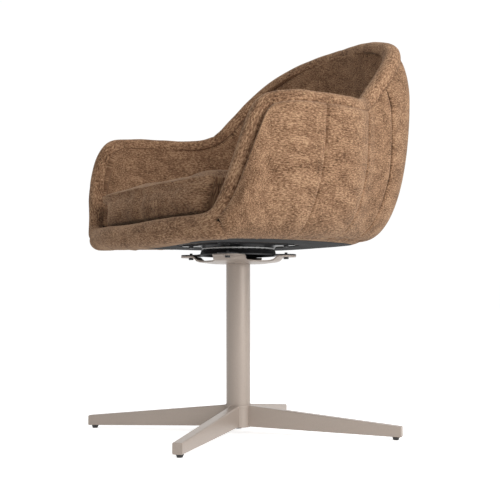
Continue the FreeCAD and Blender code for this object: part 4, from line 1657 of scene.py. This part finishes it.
class Base:
    """Legs, hub, column and ball swivel."""

    size = BaseSize()
    corners = ("front_left", "back_left", "back_right", "front_right")
    kept = {"ball_cage": Slot.ZINC, "hub_bolt": Slot.BLACK, "glide_nuts": Slot.ZINC,
            "spider_bolts": Slot.BLACK, "swivel_pivot": Slot.ZINC, "pivot_nut": Slot.ZINC,
            "seat_screws": Slot.BLACK, "tee_nuts": Slot.ZINC}

    @staticmethod
    def outline(plate: PlateSize) -> Array:
        """Outline of a plate with four round-ended arms.

        Args:
            plate: Plate sizes.

        Returns:
            Radius at each side.
        """
        turn, radius = math.pi / 2, plate.arm / 2
        angle = np.arange(plate.sides) * 2 * np.pi / plate.sides
        off = (angle - math.radians(plate.arm_turn) + turn / 2) % turn - turn / 2
        centre, slant = plate.reach - radius, np.abs(np.sin(off))
        end = centre * np.cos(off) + np.sqrt(np.maximum(radius**2 - (slant * centre) ** 2, 0))
        tip = np.where(slant * centre < radius, end, 0)
        flank = np.minimum(radius / np.maximum(slant, TINY), plate.reach)
        arm = np.where(tip * np.cos(off) >= centre, tip, flank)
        return np.minimum((arm**plate.sharp + plate.core**plate.sharp) ** (1 / plate.sharp), plate.reach)

    def plate(self, name: str, plate: PlateSize) -> bpy.types.Object:
        """Pressed plate with arms.

        Args:
            name: Object name.
            plate: Plate sizes.

        Returns:
            The plate.
        """
        radius, level = np.array(plate.upper, float).T
        fine = np.unique(np.r_[radius, np.linspace(radius[0], radius[-1], plate.rows)])
        own = np.minimum(fine[:, None], self.outline(plate))
        top = np.interp(own, radius, level)
        made = turned_object(name, np.concatenate([own, own[::-1]]),
                             np.concatenate([top, top[::-1] - plate.thickness]), plate.sides)
        made.modifiers.new("weld", "WELD").merge_threshold = plate.weld
        return bevel(made, *plate.rounding)

    @staticmethod
    def turned(name: str, profile: Pairs, sides: int, rounding: tuple[float, float]) -> bpy.types.Object:
        """Turned piece with rounded edges.

        Args:
            name: Object name.
            profile: Closed line of radius and level.
            sides: Number of sides.
            rounding: Width and angle of the rounding.

        Returns:
            The piece.
        """
        radius, level = np.array(profile, float).T[..., None]
        return bevel(turned_object(name, radius, level, sides), *rounding)

    def leg(self, name: str, turn: float) -> bpy.types.Object:
        """Tapered leg with soft edges.

        Args:
            name: Object name.
            turn: Angle from -Y towards +X, in degrees.

        Returns:
            The leg.
        """
        size, round_off = self.size, self.size.leg_corner
        rows = np.linspace(size.hub_radius - size.root_in, size.leg_reach, size.leg_rows)
        way = (size.leg_reach - rows) / (size.leg_reach - size.hub_radius)
        low = blend(size.leg_low, size.root_low, way)[:, None]
        depth = blend(size.leg_depth, size.root_depth, way)[:, None]
        sides = np.repeat(np.array([(1, 1), (-1, 1), (-1, 0), (1, 0)]), size.leg_steps, 0)
        angle = (np.repeat(np.arange(4), size.leg_steps)
                 + np.tile(np.linspace(0, 1, size.leg_steps), 4)) * np.pi / 2
        across = sides[:, 0] * (size.leg_width / 2 - round_off) + round_off * np.cos(angle)
        up = low + depth * sides[:, 1] + round_off * (1 - 2 * sides[:, 1] + np.sin(angle))
        points = np.stack(np.broadcast_arrays(across, -rows[:, None], up), -1)
        caps = []
        for row, insets in ((0, (1 - TINY,)), (-1, size.leg_caps)):
            middle = np.array([0, -rows[row], low[row, 0] + depth[row, 0] / 2])
            caps.append([blend(points[row], middle, inset) for inset in insets])
        points = np.concatenate([caps[0], points, caps[1]])
        cosine, sine = math.cos(math.radians(turn)), math.sin(math.radians(turn))
        points = points @ np.array([[cosine, sine, 0], [-sine, cosine, 0], [0, 0, 1]])
        return bevel(outward(grid_object(name, Grid(points, ring_columns=True))), *size.leg_rounding)

    def balls(self) -> bpy.types.Object:
        """Row of bearing balls.

        Returns:
            All balls as one object.
        """
        size, (rows, columns) = self.size, self.size.ball_mesh
        turn = (np.arange(size.ball_count) + 0.5) * 2 * np.pi / size.ball_count
        pole = np.pi / 2 - size.ball_pole
        latitude = np.linspace(-pole, pole, rows)[:, None]
        longitude = np.arange(columns) * 2 * np.pi / columns
        flat = np.cos(latitude)
        sphere = size.ball_radius * np.stack(np.broadcast_arrays(
            flat * np.cos(longitude), flat * np.sin(longitude), np.sin(latitude)), -1)
        centre = np.stack([size.race_radius * np.sin(turn), -size.race_radius * np.cos(turn),
                           np.full_like(turn, size.ball_level)], -1)
        points = (centre[:, None] + sphere.reshape(-1, 3)).reshape(-1, 3)
        start = np.arange(size.ball_count) * rows * columns
        faces = (Grid(sphere, ring_columns=True).faces() + start[:, None, None]).reshape(-1, 4)
        return outward(new_object("balls", points * MM, [faces]))

    def build(self, finishes: Finishes) -> None:
        """Make and dress the base.

        Args:
            finishes: Materials.
        """
        base, size = Body.BASE.value, self.size
        for number, corner in enumerate(self.corners):
            turn = size.leg_turn + 90 * number
            finishes.dress(self.leg("leg_tube_" + corner, turn), Slot.FRAME, base, "leg_" + corner)
            foot = self.turned("foot_" + corner, size.glide, size.glide_sides, size.glide_rounding)
            angle, shift = math.radians(turn), size.glide_circle * MM
            foot.data.transform(Matrix.Translation((shift * math.sin(angle), -shift * math.cos(angle), 0)))
            finishes.dress(foot, Slot.PLASTIC, "glide_" + corner, "glide_" + corner)
        hub = self.turned("hub_sleeve", size.hub, size.column_sides, size.hub_rounding)
        finishes.dress(hub, Slot.FRAME, base, "hub")
        column = self.turned("column_tube", size.column, size.column_sides, size.column_rounding)
        finishes.dress(column, Slot.FRAME, base, "column")
        finishes.dress(self.plate("spider_bowl", size.bowl), Slot.FRAME, base, "spider")
        finishes.dress(self.plate("lower_plate", size.lower), Slot.BLACK, base, "lower_swivel_plate")
        upper = self.plate("upper_plate", size.upper)
        finishes.dress(upper, Slot.BLACK, Body.SEAT.value, "upper_swivel_plate")
        finishes.dress(self.balls(), Slot.BALLS, Body.CAGE.value, "bearing_balls")
        for node, slot in self.kept.items():
            finishes.keep(node, slot)


# ---------------------------------------------------------------- stage


@dataclass(frozen=True)
class StageSize:
    """Camera, lights and floor, in metres, degrees and watts."""

    camera: Place = (1.7331, -1.1254, 0.2748)
    angles: Place = (92.94, 0.09, 56.32)
    lens: float = 71.19
    sensor: float = 36.0
    floor: float = 40.0
    floor_paint: Paint = Paint.even("floor_paint", (0.93, 0.93, 0.93), 0.9, 0.0, 3, 0.0, 0.004)
    floor_glow: float = 0.66
    world: float = 0.42
    world_seen: float = 1.02
    aim: Place = (0, 0, 0.5)
    lights: Sequence[tuple[str, Place, float, float]] = (
        ("key", (2.3, 0.5, 1.3), 1.6, 50), ("front", (-0.6, -2.8, 1.6), 1.8, 3),
        ("top", (0.2, 0.0, 3.2), 2.6, 14), ("rear", (-2.2, 1.8, 1.8), 1.8, 6))


class Stage:
    """Studio round the chair."""

    size = StageSize()

    def area(self, name: str, place: Place, width: float, power: float) -> None:
        """Square softbox that looks at the seat.

        Args:
            name: Light name.
            place: Position in metres.
            width: Side in metres.
            power: Power in watts.
        """
        light = bpy.data.lights.new(name, "AREA")
        light.shape, light.size, light.energy = "SQUARE", width, power
        made = bpy.data.objects.new(name, light)
        made.location = place
        aim = np.array(self.size.aim) - np.array(place)
        made.rotation_euler = (math.atan2(math.hypot(aim[0], aim[1]), -aim[2]), 0,
                               math.atan2(aim[1], aim[0]) - math.pi / 2)
        bpy.context.scene.collection.objects.link(made)

    def world(self) -> None:
        """White background for the camera, softer light for the scene."""
        size, world = self.size, bpy.data.worlds.new("studio")
        world.use_nodes = True
        nodes = Nodes(world.node_tree)
        strength = nodes.seen_directly(size.world_seen - size.world, size.world)
        nodes.feed(nodes.tree.nodes["Background"], {"Color": (1, 1, 1, 1), "Strength": strength})
        bpy.context.scene.world = world

    def floor(self) -> None:
        """White floor that glows for the camera, in mirrors and through glass."""
        size, half = self.size, self.size.floor / 2
        points = np.array([(-half, -half, 0), (half, -half, 0), (half, half, 0), (-half, half, 0)])
        floor = new_object("floor", points, [np.array([[0, 1, 2, 3]])])
        paint = size.floor_paint.build()
        nodes = Nodes(paint.node_tree)
        nodes.feed(nodes.tree.nodes["Principled BSDF"], {
            "Emission Color": (1, 1, 1, 1), "Emission Strength": nodes.seen_directly(size.floor_glow, 0.0)})
        floor.data.materials.append(paint)
        floor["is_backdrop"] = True

    def build(self) -> None:
        """Make the stage."""
        size, scene = self.size, bpy.context.scene
        self.floor()
        for light in size.lights:
            self.area(*light)
        self.world()
        camera = bpy.data.cameras.new("camera")
        camera.lens, camera.sensor_width = size.lens, size.sensor
        made = bpy.data.objects.new("camera", camera)
        made.location = size.camera
        made.rotation_euler = tuple(math.radians(angle) for angle in size.angles)
        scene.collection.objects.link(made)
        scene.camera = made
        scene.view_settings.view_transform = "Standard"


def corners() -> list[list[float]]:
    """Bounds of the shown object.

    Returns:
        Lowest and highest corner as plain lists.
    """
    return [[float(value) for value in corner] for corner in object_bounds()]


def main() -> None:
    """Build the chair and its stage."""
    logging.basicConfig(level=logging.INFO, format="%(message)s")
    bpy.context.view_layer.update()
    finishes = Finishes()
    tub = Tub()
    LOG.info("tub")
    tub.build(finishes)
    LOG.info("base")
    Base().build(finishes)
    LOG.info("cushion")
    Cushion(tub).build(finishes)
    LOG.info("stage")
    Stage().build()


if __name__ == "__main__":
    main()
